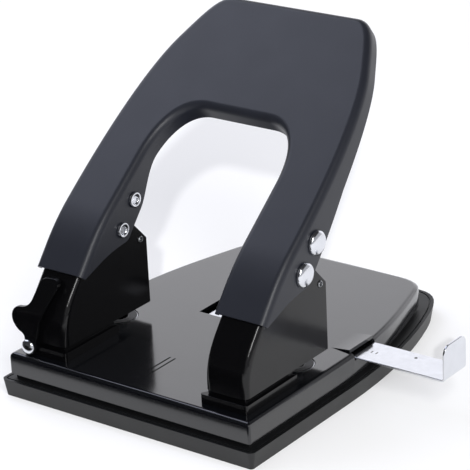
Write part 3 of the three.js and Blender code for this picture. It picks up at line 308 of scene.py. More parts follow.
def varied(tree, place, size, low, high):
    """A value that drifts between low and high in patches of the given size."""
    patches = node(tree, "ShaderNodeTexNoise", [
        ("Vector", place), ("Scale", per_mm(size)), ("Detail", GLOSS_DETAIL),
    ])
    return node(tree, "ShaderNodeMapRange", [
        ("Value", patches.outputs["Fac"]), ("To Min", low), ("To Max", high),
    ]).outputs["Result"]


def relief(tree, place, size, height, detail=2.0):
    """A bumpy surface whose bumps have the given size and height."""
    bumps = node(tree, "ShaderNodeTexNoise", [
        ("Vector", place), ("Scale", per_mm(size)), ("Detail", detail),
    ])
    return node(tree, "ShaderNodeBump", [
        ("Height", bumps.outputs["Fac"]), ("Distance", height * MM), ("Strength", 1.0),
    ]).outputs["Normal"]


def stoved_enamel(name, base, rough, peel, lacquer=0.0, shine=0.5):
    """Stoved enamel, sprayed on pressed steel: a wet coat with a slight orange peel, uneven in gloss."""
    material, tree, place = finish_tree(name)
    paint = tint(tree, place, base, size=22, spread=0.06)
    gloss = varied(tree, place, size=9, low=rough - 0.03, high=rough + 0.04)
    # Orange peel is about 1.5 mm across and microns deep; it is drawn deeper so that it shows.
    coat = relief(tree, place, size=1.5, height=peel)
    shaded(tree, [
        ("Base Color", paint), ("Roughness", gloss), ("Normal", coat), ("IOR", 1.5),
        ("Specular IOR Level", shine), ("Coat Weight", lacquer), ("Coat Roughness", 0.09),
    ])
    return material


def moulded_abs(name, base):
    """ABS, injection moulded in a spark-eroded tool: an even, fine-grained dull black."""
    material, tree, place = finish_tree(name)
    plastic = tint(tree, place, base, size=14, spread=0.08)
    # Spark-eroded grain is about 0.2 mm across; it is drawn at 0.5 mm so that it shows.
    grain = relief(tree, place, size=0.5, height=0.02, detail=3.0)
    gloss = varied(tree, place, size=12, low=0.42, high=0.54)
    shaded(tree, [("Base Color", plastic), ("Roughness", gloss), ("Normal", grain), ("IOR", 1.53)])
    return material


# Printed marks on the guide, in millimetres: middle and half reach for the row of ticks on each axis

MARK_PITCH = 2.0
MARK_WIDTH = 0.4
MARK_RUN = (56.6, 3.4)
MARK_ROW = (0.9, 0.8)
MARK_FACE = (15.0, 0.1)
MARK_DOT = (72.3, 4.7, 15.0)
MARK_DOT_RADIUS = 0.6


def printed_marks(tree, place):
    """One where ink lies: a short row of plain ticks and one dot on the guide's top face, else zero."""
    axes = node(tree, "ShaderNodeSeparateXYZ", [("Vector", place)]).outputs
    along = node(tree, "ShaderNodeMath", [(0, axes["X"]), (1, MARK_PITCH * MM)], operation="MODULO")
    ticks = node(tree, "ShaderNodeMath", [(0, along.outputs[0]), (1, MARK_WIDTH * MM)], operation="LESS_THAN")
    for axis, (middle, reach) in (("X", MARK_RUN), ("Y", MARK_ROW), ("Z", MARK_FACE)):
        near = node(
            tree, "ShaderNodeMath", [(0, axes[axis]), (1, middle * MM), (2, reach * MM)], operation="COMPARE"
        )
        ticks = node(
            tree, "ShaderNodeMath", [(0, ticks.outputs[0]), (1, near.outputs[0])], operation="MULTIPLY"
        )
    away = node(tree, "ShaderNodeVectorMath", [(0, place), (1, metres(MARK_DOT))], operation="DISTANCE")
    dot = node(
        tree, "ShaderNodeMath", [(0, away.outputs["Value"]), (1, MARK_DOT_RADIUS * MM)], operation="LESS_THAN"
    )
    return node(
        tree, "ShaderNodeMath", [(0, ticks.outputs[0]), (1, dot.outputs[0])], operation="MAXIMUM"
    ).outputs[0]


def marked_nickel(name, base, ink):
    """Nickel plate on rolled strip, screen printed: bright metal with flat black marks."""
    material, tree, place = finish_tree(name)
    plate = tint(tree, place, base, size=6, spread=0.03)
    marks = printed_marks(tree, place)
    shown = node(tree, "ShaderNodeMix", [("Factor", marks), ("A", plate), ("B", (*ink, 1))], data_type="RGBA")
    metal = shown.outputs["Result"]
    gloss = varied(tree, place, size=2.5, low=0.13, high=0.24)
    ripple = relief(tree, place, size=3, height=0.008)
    shaded(tree, [("Base Color", metal), ("Roughness", gloss), ("Normal", ripple), ("Metallic", 1.0)])
    return material


DIE_CENTRE = (40.0, -23.9, 16.5)
DIE_RIM_RADIUS = 6.85


def blued_steel(name, base, painted_rim_highlight):
    """Tool steel, hardened and oil blued: nearly black, with a painted highlight: a ring of bright metal
    colour round the die's rim.
    """
    material, tree, place = finish_tree(name)
    blued = tint(tree, place, base, size=4, spread=0.15)
    # Absolute coordinates lay both dies on one centre.
    folded = node(tree, "ShaderNodeVectorMath", [(0, place)], operation="ABSOLUTE").outputs["Vector"]
    centre = metres(abs(value) for value in DIE_CENTRE)
    away = node(tree, "ShaderNodeVectorMath", [(0, folded), (1, centre)], operation="DISTANCE")
    # Painted highlight: beyond this radius the die's rim takes a bright metal colour.
    rim = node(tree, "ShaderNodeMath", [
        (0, away.outputs["Value"]), (1, DIE_RIM_RADIUS * MM),
    ], operation="GREATER_THAN").outputs[0]
    shown = node(tree, "ShaderNodeMix", [("Factor", rim), ("A", blued), ("B", (*painted_rim_highlight, 1))], data_type="RGBA")
    metal = shown.outputs["Result"]
    gloss = varied(tree, place, size=3, low=0.22, high=0.36)
    marks = relief(tree, place, size=0.6, height=0.01)
    shaded(tree, [("Base Color", metal), ("Roughness", gloss), ("Normal", marks), ("Metallic", 1.0)])
    return material


def nickel_plate(name, base):
    """Nickel plate over turned steel: bright, slightly cool, with fine handling marks."""
    material, tree, place = finish_tree(name)
    plate = tint(tree, place, base, size=6, spread=0.04)
    gloss = varied(tree, place, size=2.5, low=0.11, high=0.24)
    ripple = relief(tree, place, size=3, height=0.01)
    shaded(tree, [("Base Color", plate), ("Roughness", gloss), ("Normal", ripple), ("Metallic", 1.0)])
    return material


GRIND_STRETCH = 12
GRIND_SIZE = 4.8


def ground_steel(name, base):
    """Tool steel, ground on its faces: grey with short cross marks from the wheel."""
    material, tree, place = finish_tree(name)
    squeeze = node(tree, "ShaderNodeMapping", [("Vector", place), ("Scale", (1, 1, GRIND_STRETCH))])
    across = squeeze.outputs["Vector"]
    metal = tint(tree, place, base, size=5, spread=0.1)
    # Grinding marks are about 0.1 mm apart; they are drawn at 0.4 mm so that they show.
    marks = relief(tree, across, size=GRIND_SIZE, height=0.012, detail=4.0)
    gloss = varied(tree, across, size=6, low=0.24, high=0.42)
    shaded(tree, [("Base Color", metal), ("Roughness", gloss), ("Normal", marks), ("Metallic", 1.0)])
    return material


def oiled_spring_wire(name, base):
    """Spring steel, cold drawn and oil tempered: dark grey with a soft, slightly uneven sheen."""
    material, tree, place = finish_tree(name)
    wire = tint(tree, place, base, size=3, spread=0.14)
    gloss = varied(tree, place, size=1.2, low=0.28, high=0.45)
    drawn = relief(tree, place, size=0.6, height=0.01)
    shaded(tree, [("Base Color", wire), ("Roughness", gloss), ("Normal", drawn), ("Metallic", 1.0)])
    return material


MAKERS = {
    "handle": lambda: stoved_enamel("Satin stoved enamel", colours().handle, rough=0.4, peel=0.012),
    "table": lambda: stoved_enamel(
        "Gloss stoved enamel, table", colours().table, rough=0.15, peel=0.006, lacquer=0.6
    ),
    "heads": lambda: stoved_enamel(
        "Gloss stoved enamel", colours().heads, rough=0.17, peel=0.008, shine=0.36
    ),
    "tray": lambda: moulded_abs("Moulded ABS", colours().tray),
    "nickel": lambda: nickel_plate("Nickel plate", colours().nickel),
    "strip": lambda: marked_nickel("Nickel plate, printed", colours().nickel, colours().heads),
    "blued": lambda: blued_steel("Blued tool steel", colours().blued, colours().nickel),
    "steel": lambda: ground_steel("Ground tool steel", colours().steel),
    "spring": lambda: oiled_spring_wire("Oil-tempered spring wire", colours().spring),
}
MADE = {}


def finish(kind):
    """The finish of that kind, made when it is first asked for."""
    if kind not in MADE:
        MADE[kind] = MAKERS[kind]()
    return MADE[kind]


# Handle, in millimetres: its web follows a bent side profile, drawn in Y and Z

HANDLE_LENGTH = 123.9
HANDLE_LEAN = math.radians(51)
HANDLE_UPPER_LEAN = math.radians(37.8)
HANDLE_VERTEX = 18.4
HANDLE_SWEEP = 80
HANDLE_START = 16
HANDLE_STRAIGHT = 30
HANDLE_BEND = 2.8
HANDLE_LOBE = 5.8
HANDLE_FOOT_DEPTH = 2.9
HANDLE_WAIST = 60
HANDLE_WAIST_DEPTH = 10.2
HANDLE_RIM_DEPTH = 6.8
HANDLE_SMOOTH_ANGLE = 60
HANDLE_EDGE_ANGLE = 50
MIRROR_GAP = 0.01
WINDOW_HEIGHT = 75.6
WINDOW_FLANGE = 7.5
WINDOW_FLANGE_RUN = 20
HEAD_VERTEX_RISE = 16.3
HEAD_TO_HANDLE = 0.3
SEARCH_STEPS = 50
LOBE_STEPS = 48
STRETCH_POINTS = 160


def handle_profile(station):
    """Point on the web's outer surface and the web's slope there, in millimetres from the heads' front."""
    sheet = sizes().sheet / MM
    off = HEAD_TO_HANDLE + sheet
    start = Vector((
        HANDLE_START * math.cos(HANDLE_LEAN) - off * math.sin(HANDLE_LEAN),
        HEAD_VERTEX_RISE + HANDLE_START * math.sin(HANDLE_LEAN) + off * math.cos(HANDLE_LEAN),
    ))
    turn = HANDLE_LEAN - HANDLE_UPPER_LEAN
    straight = HANDLE_VERTEX - HANDLE_SWEEP * math.tan(turn / 2)
    arc = HANDLE_SWEEP * turn
    bend = min(max((station - straight) / arc, 0), 1)
    angle = HANDLE_LEAN - turn * bend
    run = min(station, straight)
    rest = max(station - straight - arc, 0)
    y = run * math.cos(HANDLE_LEAN) + HANDLE_SWEEP * (math.sin(HANDLE_LEAN) - math.sin(angle))
    z = run * math.sin(HANDLE_LEAN) + HANDLE_SWEEP * (math.cos(angle) - math.cos(HANDLE_LEAN))
    y += rest * math.cos(HANDLE_UPPER_LEAN)
    z += rest * math.sin(HANDLE_UPPER_LEAN)
    return start + Vector((y, z)), angle


def on_web(x, station, depth):
    """A point at a depth under the web's outer surface, in metres in the object's frame."""
    point, angle = handle_profile(station)
    s = sizes()
    return Vector((
        x * MM,
        s.head_front + (point.x + depth * math.sin(angle)) * MM,
        s.table_top + (point.y - depth * math.cos(angle)) * MM,
    ))


def web_place(y, z):
    """Station and depth of a point given in metres from the heads' front and the table."""
    y, z = y / MM, z / MM
    low, high = 0.0, HANDLE_LENGTH
    for _ in range(SEARCH_STEPS):
        middle = (low + high) / 2
        point, angle = handle_profile(middle)
        if (y - point.x) * math.cos(angle) + (z - point.y) * math.sin(angle) > 0:
            low = middle
        else:
            high = middle
    point, _ = handle_profile(low)
    return low, (Vector((y, z)) - point).length


def flange_depths():
    """The upper hull of the outer flange's foot, lobes and waist, and the drive rivet's station."""
    s = sizes()
    drive_station, drive_depth = web_place(*drive_place())
    points = [(0, HANDLE_FOOT_DEPTH), (HANDLE_WAIST, HANDLE_WAIST_DEPTH)]
    for station, depth in (web_place(s.pivot_y, s.pivot_z), (drive_station, drive_depth)):
        for i in range(LOBE_STEPS + 1):
            angle = math.pi * i / LOBE_STEPS
            points.append((station - HANDLE_LOBE * math.cos(angle), depth + HANDLE_LOBE * math.sin(angle)))
    hull = []
    for point in sorted(points):
        while len(hull) > 1:
            a, b = hull[-2:]
            if (b[0] - a[0]) * (point[1] - a[1]) - (b[1] - a[1]) * (point[0] - a[0]) < 0:
                break
            hull.pop()
        hull.append(point)
    return hull, drive_station


def hull_depth(hull, station):
    """Depth of the outer flange: on the hull up to the waist, then easing to the rim's depth."""
    for a, b in zip(hull, hull[1:]):
        if station <= b[0]:
            share = (station - a[0]) / (b[0] - a[0]) if b[0] > a[0] else 0
            return a[1] + (b[1] - a[1]) * max(share, 0)
    left = (HANDLE_LENGTH - station) / (HANDLE_LENGTH - HANDLE_WAIST)
    return HANDLE_RIM_DEPTH + (HANDLE_WAIST_DEPTH - HANDLE_RIM_DEPTH) * left * left


def smooth_step(value, low, high):
    """Zero up to low, one from high, and a soft curve between."""
    t = min(max((value - low) / (high - low), 0), 1)
    return t * t * (3 - 2 * t)


def even_path(segments, count):
    """Points and tangents at even steps along joined Bezier stretches."""
    fine = []
    for a, b, c, d in segments:
        stretch = interpolate_bezier(Vector(a), Vector(b), Vector(c), Vector(d), STRETCH_POINTS)
        fine.extend(stretch if not fine else stretch[1:])
    reach = [0.0]
    for before, after in zip(fine, fine[1:]):
        reach.append(reach[-1] + (after - before).length)
    result = []
    at = 0
    for i in range(count + 1):
        goal = reach[-1] * i / count
        while at + 2 < len(fine) and reach[at + 1] < goal:
            at += 1
        share = (goal - reach[at]) / (reach[at + 1] - reach[at])
        result.append((fine[at].lerp(fine[at + 1], share), (fine[at + 1] - fine[at]).normalized()))
    return result


# The handle's outer edge and its window: points and pulls as shares of their half width and height

OUTER_PULLS = ((1, 0.533), (0.931, 0.7345))
TOP_SIDE = (0.829, 0.8354)
TOP_PULLS = ((0.737, 0.9266), (0.678, 1))
TOP_START = 0.536
WINDOW_SIDE = 0.68
WINDOW_PULLS = ((1, 0.894), (0.777, 1))
WINDOW_TOP = 0.473
LEG_STEPS = 30
FAN_STEPS = 72
TOP_STEPS = 8
BEND_STEPS = 8
FLANGE_STEPS = 4


def handle_edges():
    """Outer and window edges in pairs, each a point and a tangent, from the right foot to the middle."""
    s = sizes()
    half = s.head_spacing / 2 / MM + s.leg_half / MM
    window = s.head_spacing / 2 / MM - s.leg_half / MM
    up, across = Vector((0, 1, 0)), Vector((-1, 0, 0))

    def outer(u, v):
        return (half * u, HANDLE_LENGTH * v, 0)

    def inner(u, v):
        return (window * u, WINDOW_HEIGHT * v, 0)

    pairs = []
    for i in range(LEG_STEPS):
        station = HANDLE_STRAIGHT * i / LEG_STEPS
        pairs.append(((Vector((half, station, 0)), up), (Vector((window, station, 0)), up)))
    outside = even_path([
        ((half, HANDLE_STRAIGHT, 0), outer(*OUTER_PULLS[0]), outer(*OUTER_PULLS[1]), outer(*TOP_SIDE)),
        (outer(*TOP_SIDE), outer(*TOP_PULLS[0]), outer(*TOP_PULLS[1]), outer(TOP_START, 1)),
    ], FAN_STEPS)
    side = inner(1, WINDOW_SIDE)
    low = (window, HANDLE_STRAIGHT, 0)
    inside = even_path([
        (low, Vector(low).lerp(Vector(side), 1 / 3), Vector(low).lerp(Vector(side), 2 / 3), side),
        (side, inner(*WINDOW_PULLS[0]), inner(*WINDOW_PULLS[1]), inner(WINDOW_TOP, 1)),
    ], FAN_STEPS)
    pairs.extend(zip(outside, inside))
    for i in range(1, TOP_STEPS + 1):
        share = 1 - i / TOP_STEPS
        pairs.append((
            (Vector((half * TOP_START * share, HANDLE_LENGTH, 0)), across),
            (Vector((window * WINDOW_TOP * share, WINDOW_HEIGHT, 0)), across),
        ))
    return pairs


def handle_line(pair, hull, drive_station):
    """The sheet's outer line across one pair of edges: flange, bend, web, bend, flange."""
    line = []
    for which, (point, tangent) in enumerate(pair):
        sense = 1 if which == 0 else -1
        inward = Vector((-sense * tangent.y, sense * tangent.x, 0))
        depth = hull_depth(hull, point.y)
        if which == 1:
            share = smooth_step(point.y, drive_station, drive_station + WINDOW_FLANGE_RUN)
            depth += (WINDOW_FLANGE - depth) * share
        run = [(0.0, depth)]
        for k in range(FLANGE_STEPS - 1, 0, -1):
            run.append((0.0, HANDLE_BEND + (depth - HANDLE_BEND) * k / FLANGE_STEPS))
        for i in range(BEND_STEPS + 1):
            angle = i / BEND_STEPS * math.pi / 2
            run.append((HANDLE_BEND * (1 - math.cos(angle)), HANDLE_BEND * (1 - math.sin(angle))))
        if which == 1:
            run.reverse()
        for inset, down in run:
            spot = point + inward * inset
            line.append(on_web(spot.x, spot.y, down))
    return line


def build_handle():
    hull, drive_station = flange_depths()
    lines = [handle_line(pair, hull, drive_station) for pair in handle_edges()]
    bm = bmesh.new()
    verts = [bm.verts.new(point) for point in lines[0]]
    edges = [bm.edges.new(pair) for pair in zip(verts, verts[1:])]
    for line in lines[1:]:
        verts, edges = extended(bm, verts, edges, line)
    for vert in verts:
        vert.co.x = 0
    bmesh.ops.mirror(bm, geom=bm.verts[:] + bm.edges[:] + bm.faces[:], axis="X", merge_dist=MIRROR_GAP * MM)
    bmesh.ops.remove_doubles(bm, verts=bm.verts, dist=WELD_GAP * MM)
    bmesh.ops.recalc_face_normals(bm, faces=bm.faces)
    largest = max(bm.faces, key=lambda face: face.calc_area())
    if largest.normal.z < 0:
        bmesh.ops.reverse_faces(bm, faces=bm.faces)
    piece = adopted(
        "handle_pressing", bm, finish("handle"), "lever", ["handle"], HANDLE_SMOOTH_ANGLE
    )
    wall = piece.modifiers.new("Sheet", "SOLIDIFY")
    wall.thickness = sizes().sheet
    wall.offset = -1
    wall.use_even_offset = True
    eased(piece, sizes().edge_radius, EDGE_SEGMENTS, HANDLE_EDGE_ANGLE)


# Cross rivets: a dome on the outside of each leg and a rolled tail on the inside

DOME = ((1, 0), (0.985, 0.24), (0.93, 0.46), (0.83, 0.66), (0.68, 0.82), (0.48, 0.93), (0.25, 0.985), (0, 1))
DOME_FOOT = 0.15
RIVET_HEAD_RADIUS = 4.5
RIVET_HEAD_HEIGHT = 2.0
RIVET_TAIL_RADIUS = 2.95
RIVET_TAIL_HEIGHT = 0.9
RIVET_TAIL_HOLLOW = 1.5
TAIL_HOLLOW_MOUTH = 0.45
TAIL_HOLLOW_TAPER = 0.9
# Shares of the tail's radius, and heights over its end
TAIL_ROLL = ((1, 0.5), (0.93, 0.12), (0.8, 0), (0.66, 0.14))
PIN_RADIUS = 2.5
SEAT_GAP = 0.3


def cross_rivet_profile():
    """Radius and height from the middle of the leg, dome first, with the rolled tail last."""
    seat = sizes().leg_half / MM + SEAT_GAP
    end = -seat - RIVET_TAIL_HEIGHT
    rise = RIVET_HEAD_HEIGHT - DOME_FOOT
    dome = [(RIVET_HEAD_RADIUS * u, seat + DOME_FOOT + rise * v) for u, v in reversed(DOME)]
    neck = [(RIVET_HEAD_RADIUS, seat), (PIN_RADIUS, seat), (PIN_RADIUS, -seat), (RIVET_TAIL_RADIUS, -seat)]
    roll = [(RIVET_TAIL_RADIUS * u, end + lift) for u, lift in TAIL_ROLL]
    mouth = (RIVET_TAIL_HOLLOW, end + TAIL_HOLLOW_MOUTH)
    bottom = (RIVET_TAIL_HOLLOW * TAIL_HOLLOW_TAPER, -seat)
    return dome + neck + roll + [mouth, bottom, (0, -seat)]


def build_cross_rivets():
    s = sizes()
    rivets = (("pivot", (s.pivot_y, s.pivot_z), "base"), ("drive", drive_place(), "lever"))
    for side, word in head_sides():
        turn = Matrix.Rotation(side * math.pi / 2, 4, "Y")
        for kind, (y, z), body in rivets:
            place = Matrix.Translation((side * s.head_spacing / 2, s.head_front + y, s.table_top + z))
            bm = revolved(cross_rivet_profile(), s.round_steps, place @ turn)
            rivet = f"{word}_{kind}_rivet"
            finished(f"{rivet}_made", bm, finish("nickel"), body, [rivet])


# Punches, their collars and their return springs

PUNCH_RADIUS = 3.0
PUNCH_TIP_HOLLOW = 0.9
PUNCH_HEAD_RADIUS = 4.5
PUNCH_HEAD_HEIGHT = 2.5
PUNCH_EDGE = 0.25
COLLAR_CLEARANCE = 0.15
COLLAR_EDGE = 0.3
COLLAR_SEAM = 0.5
SPRING_WIRE = 1.0
SPRING_RADIUS = 4.3
SPRING_TURNS = 7
SPRING_END_EASE = 0.14
SPRING_SMOOTH_ANGLE = 60
TURN_STEPS = 32
WIRE_SIDES = 12


def build_punch(word, centre):
    """A hollow-ground tip, a straight shaft and a flat head."""
    low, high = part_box(f"{word}_punch")
    tip, top = low[2] / MM, high[2] / MM
    under = top - PUNCH_HEAD_HEIGHT
    shaft = rounded([
        (0, tip + PUNCH_TIP_HOLLOW), (PUNCH_RADIUS, tip), (PUNCH_RADIUS, under),
        (PUNCH_HEAD_RADIUS, under), (PUNCH_HEAD_RADIUS, top), (0, top),
    ], PUNCH_EDGE)
    bm = revolved(shaft, sizes().round_steps, centre)
    finished(f"{word}_punch_made", bm, finish("steel"), f"{word}_plunger", [f"{word}_punch"])


def build_collar(word, centre):
    """A plain ring on the punch; its profile starts and ends at a seam in the bore."""
    low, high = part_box(f"{word}_spring_collar")
    bore, rim = PUNCH_RADIUS + COLLAR_CLEARANCE, (high[0] - low[0]) / 2 / MM
    base, lid = low[2] / MM, high[2] / MM
    seam = (bore, base + COLLAR_SEAM)
    ring = rounded([seam, (bore, base), (rim, base), (rim, lid), (bore, lid), seam], COLLAR_EDGE)
    bm = revolved(ring, sizes().round_steps, centre)
    finished(
        f"{word}_collar_made", bm, finish("steel"), f"{word}_plunger", [f"{word}_spring_collar"]
    )


def build_spring(word, centre):
    """One wire, swept up the coil with end turns that lie a little closer."""
    low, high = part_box(f"{word}_return_spring")
    half = SPRING_WIRE / 2
    base, rise = low[2] / MM + half, (high[2] - low[2]) / MM - SPRING_WIRE
    steps = SPRING_TURNS * TURN_STEPS
    bm = bmesh.new()
    ring = []
    for i in range(WIRE_SIDES):
        angle = math.tau * i / WIRE_SIDES
        spot = (SPRING_RADIUS + half * math.cos(angle), 0, base + half * math.sin(angle))
        ring.append(bm.verts.new(metres(spot)))
    edges = [bm.edges.new((a, b)) for a, b in zip(ring, ring[1:] + ring[:1])]
    first = list(ring)
    offsets = [v.co.copy() for v in ring]
    for k in range(1, steps + 1):
        share = k / steps
        climb = rise * (share - SPRING_END_EASE * math.sin(math.tau * share) / math.tau)
        turn = Matrix.Rotation(math.tau * SPRING_TURNS * share, 4, "Z")
        points = [turn @ co + Vector((0, 0, climb * MM)) for co in offsets]
        ring, edges = extended(bm, ring, edges, points)
    bm.faces.new(first)
    bm.faces.new(ring)
    bmesh.ops.transform(bm, matrix=centre, verts=bm.verts)
    spring = finished(
        f"{word}_spring_made", bm, finish("spring"), "base", [f"{word}_return_spring"],
        SPRING_SMOOTH_ANGLE,
    )
    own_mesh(spring)


def build_plungers():
    for _, word in head_sides():
        low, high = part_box(f"{word}_punch")
        centre = Matrix.Translation(((low[0] + high[0]) / 2, (low[1] + high[1]) / 2, 0))
        build_punch(word, centre)
        build_collar(word, centre)
        build_spring(word, centre)


# Stop pins, and the dies, blocks and rivets that stand with them in the heads

STOP_PIN_RADIUS = 1.25
STOP_PIN_CORE = 0.75
STOP_PIN_HOLLOW = 0.8
STOP_PIN_HOLLOW_DEPTH = 0.8
STOP_PIN_HOLLOW_TAPER = 0.1
STOP_PIN_MOUTH_WIDER = 0.08
STOP_PIN_MOUTH_DEPTH = 0.12
STOP_PIN_ROLL = 0.25
STOP_PIN_STEP = 2.2
STOP_PIN_ROUND_STEPS = 48


def build_stop_pin(word):
    """A stepped pin whose ends are drilled hollow and rolled over."""
    low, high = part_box(f"{word}_stop_pin")
    half = (high[0] - low[0]) / 2 / MM
    bottom = half - STOP_PIN_HOLLOW_DEPTH
    shoulder = half - STOP_PIN_STEP
    end = [
        (0, bottom), (STOP_PIN_HOLLOW - STOP_PIN_HOLLOW_TAPER, bottom),
        (STOP_PIN_HOLLOW, half - STOP_PIN_MOUTH_DEPTH), (STOP_PIN_HOLLOW + STOP_PIN_MOUTH_WIDER, half),
        (STOP_PIN_RADIUS - STOP_PIN_ROLL, half), (STOP_PIN_RADIUS, half - STOP_PIN_ROLL),
        (STOP_PIN_RADIUS, shoulder), (STOP_PIN_CORE, shoulder),
    ]
    profile = end + [(radius, -height) for radius, height in reversed(end)]
    centre = Vector(low).lerp(Vector(high), 0.5)
    turn = Matrix.Translation(centre) @ Matrix.Rotation(math.pi / 2, 4, "Y")
    bm = revolved(profile, STOP_PIN_ROUND_STEPS, turn)
    finished(f"{word}_stop_pin_made", bm, finish("steel"), "base", [f"{word}_stop_pin"])


def build_dies():
    for _, word in head_sides():
        softened(f"{word}_die", "blued", "base", width=0.25)
        softened(f"{word}_guide_block", "steel", "base", width=0.3)
        build_stop_pin(word)
        for place in ("front", "rear"):
            softened(f"{word}_head_rivet_{place}", "steel", "base", width=0.2)


# Punch heads, in millimetres: their front web is cut level by level above the table and bowed

HEAD_FRONT_RADIUS = 25
HEAD_WEB_FOLD = 4.2
HEAD_CUTS = (6.6, 26.6)
HEAD_CUT_STEP = 0.5


def head_front(rise):
    """How far the web's outer surface lies behind its foot at a height above the table."""
    turn = math.pi / 2 - HANDLE_LEAN
    low = HEAD_VERTEX_RISE - HEAD_FRONT_RADIUS * math.tan(turn / 2)
    if rise <= low:
        return 0
    if rise - low <= HEAD_FRONT_RADIUS * math.sin(turn):
        return HEAD_FRONT_RADIUS - math.sqrt(HEAD_FRONT_RADIUS ** 2 - (rise - low) ** 2)
    return (rise - HEAD_VERTEX_RISE) / math.tan(HANDLE_LEAN)


def bowed_head(node_name):
    """The head frame with its front web cut into fine levels and bowed over its full radius."""
    s = sizes()
    bm = merged_copy(node_name)
    fronts = []
    for i in range(round((HEAD_CUTS[1] - HEAD_CUTS[0]) / HEAD_CUT_STEP) + 1):
        level = s.table_top + (HEAD_CUTS[0] + i * HEAD_CUT_STEP) * MM
        cut = bmesh.ops.bisect_plane(
            bm, geom=bm.verts[:] + bm.edges[:] + bm.faces[:], dist=WELD_GAP * MM,
            plane_co=(0, 0, level), plane_no=(0, 0, 1),
        )["geom_cut"]
        fronts.append(min(item.co.y for item in cut if isinstance(item, bmesh.types.BMVert)))
    for vert in bm.verts:
        rise = (vert.co.z - s.table_top) / MM
        share = (rise - HEAD_CUTS[0]) / HEAD_CUT_STEP
        at = int(share)
        if share < 0 or at + 1 >= len(fronts):
            continue
        front = fronts[at] + (fronts[at + 1] - fronts[at]) * (share - at)
        if vert.co.y - front < HEAD_WEB_FOLD * MM:
            vert.co.y += s.head_front + head_front(rise) * MM - front
    return bm


def build_heads():
    for _, word in head_sides():
        softened(f"{word}_foot_block", "heads", "base", width=0.6, segments=5)
        softened(f"{word}_head_frame", "heads", "base", width=0.3, form=bowed_head)


# Pieces whose solids only need their edges broken


def build_table():
    softened("base_plate", "table", "base", width=0.2, angle=30)


def build_tray():
    softened("chip_tray", "tray", "tray", width=0.5, segments=4, angle=30)


def build_guide():
    softened("paper_guide", "strip", "guide", width=0.2)
    softened("guide_runner", "steel", "base", width=0.2)


def build_lock():
    softened("lock_lever", "heads", "lock", width=0.5, segments=4)
    softened("lock_rivet", "nickel", "base", width=0.1, segments=2, angle=50)


# Studio: plain floor, soft lamps and the camera at the photograph's angle, in metres

CAMERA_PLACE = (0.4787, -0.6233, 0.3706)
CAMERA_RIGHT = (0.802, 0.5956, -0.0449)
CAMERA_UP = (-0.1928, 0.3293, 0.9243)
CAMERA_BACK = (0.5653, -0.7327, 0.379)
CAMERA_LENS = 178.5
CAMERA_SENSOR = 36
CAMERA_NEAR = 0.01
FLOOR_SIZE = (12, 12)
CARD_SIZE = (4, 3)
CARD_PLACE = (-1.92, -1.59, 0.002)
VELOUR_SHADE = 0.002


def aimed_lamp(name, kind, place, aim, energy, **shape):
    """A lamp at its place, turned to its aim."""
    lamp = bpy.data.lights.new(name, kind)
    lamp.energy = energy
    for key, value in shape.items():
        setattr(lamp, key, value)
    holder = bpy.data.objects.new(name, lamp)
    holder.location = place
    holder.rotation_euler = (Vector(aim) - Vector(place)).to_track_quat("-Z", "Y").to_euler()
    bpy.context.scene.collection.objects.link(holder)
    return holder


def seen_directly(tree):
    """One for the camera, and for what polished and clear pieces show of the room; else zero."""
    path = node(tree, "ShaderNodeLightPath").outputs
    seen = path["Is Camera Ray"]
    for ray in ("Is Glossy Ray", "Is Transmission Ray"):
        seen = node(tree, "ShaderNodeMath", [(0, seen), (1, path[ray])], operation="MAXIMUM").outputs[0]
    return seen


# The paper's own light goes from the first share to the second between two distances from the object

PAPER_OWN_SHARE = 0.26
PAPER_FAR_SHARE = 0.42
PAPER_FAR = (0.35, 1.1)
PAPER_LIT_SHARE = 0.7


def floor_paper():
    """White background paper, matt: plain white with the object's soft shadow, even out to its far edge."""
    material, tree, place = finish_tree("White background paper")
    tone = tint(tree, place, colours().floor, size=40, spread=0.004)
    paper = node(tree, "ShaderNodeBsdfDiffuse", [("Color", tone)])
    shown = node(tree, "ShaderNodeBsdfDiffuse", [("Color", (PAPER_LIT_SHARE,) * 3 + (1,))])
    away = node(tree, "ShaderNodeVectorMath", [(0, place)], operation="LENGTH")
    share = node(tree, "ShaderNodeMapRange", [
        ("Value", away.outputs["Value"]), ("From Min", PAPER_FAR[0]), ("From Max", PAPER_FAR[1]),
        ("To Min", PAPER_OWN_SHARE), ("To Max", PAPER_FAR_SHARE),
    ], interpolation_type="SMOOTHSTEP")
    own = node(tree, "ShaderNodeEmission", [("Strength", share.outputs["Result"]), ("Color", (1, 1, 1, 1))])
    bright = node(tree, "ShaderNodeAddShader", [(0, shown.outputs["BSDF"]), (1, own.outputs["Emission"])])
    mix = node(tree, "ShaderNodeMixShader", [
        ("Fac", seen_directly(tree)), (1, paper.outputs["BSDF"]), (2, bright.outputs["Shader"]),
    ])
    node(tree, "ShaderNodeOutputMaterial", [("Surface", mix.outputs["Shader"])])
    return material


# The room's light on the object, and how bright polish shows its ceiling and its darker and paler walls

ROOM_COLOUR = "#fafaff"
ROOM_LEVEL = 0.55
CEILING_LEVEL = 0.04
WALL_LEVELS = (0.45, 1.3)


def facing(tree, direction, aim, cosines, levels):
    """Goes from the first level to the second as the direction turns to the aim, between two cosines."""
    lean = node(tree, "ShaderNodeVectorMath", [(0, direction), (1, aim)], operation="DOT_PRODUCT")
    return node(tree, "ShaderNodeMapRange", [
        ("Value", lean.outputs["Value"]), ("From Min", cosines[0]), ("From Max", cosines[1]),
        ("To Min", levels[0]), ("To Max", levels[1]),
    ], interpolation_type="SMOOTHSTEP").outputs["Result"]


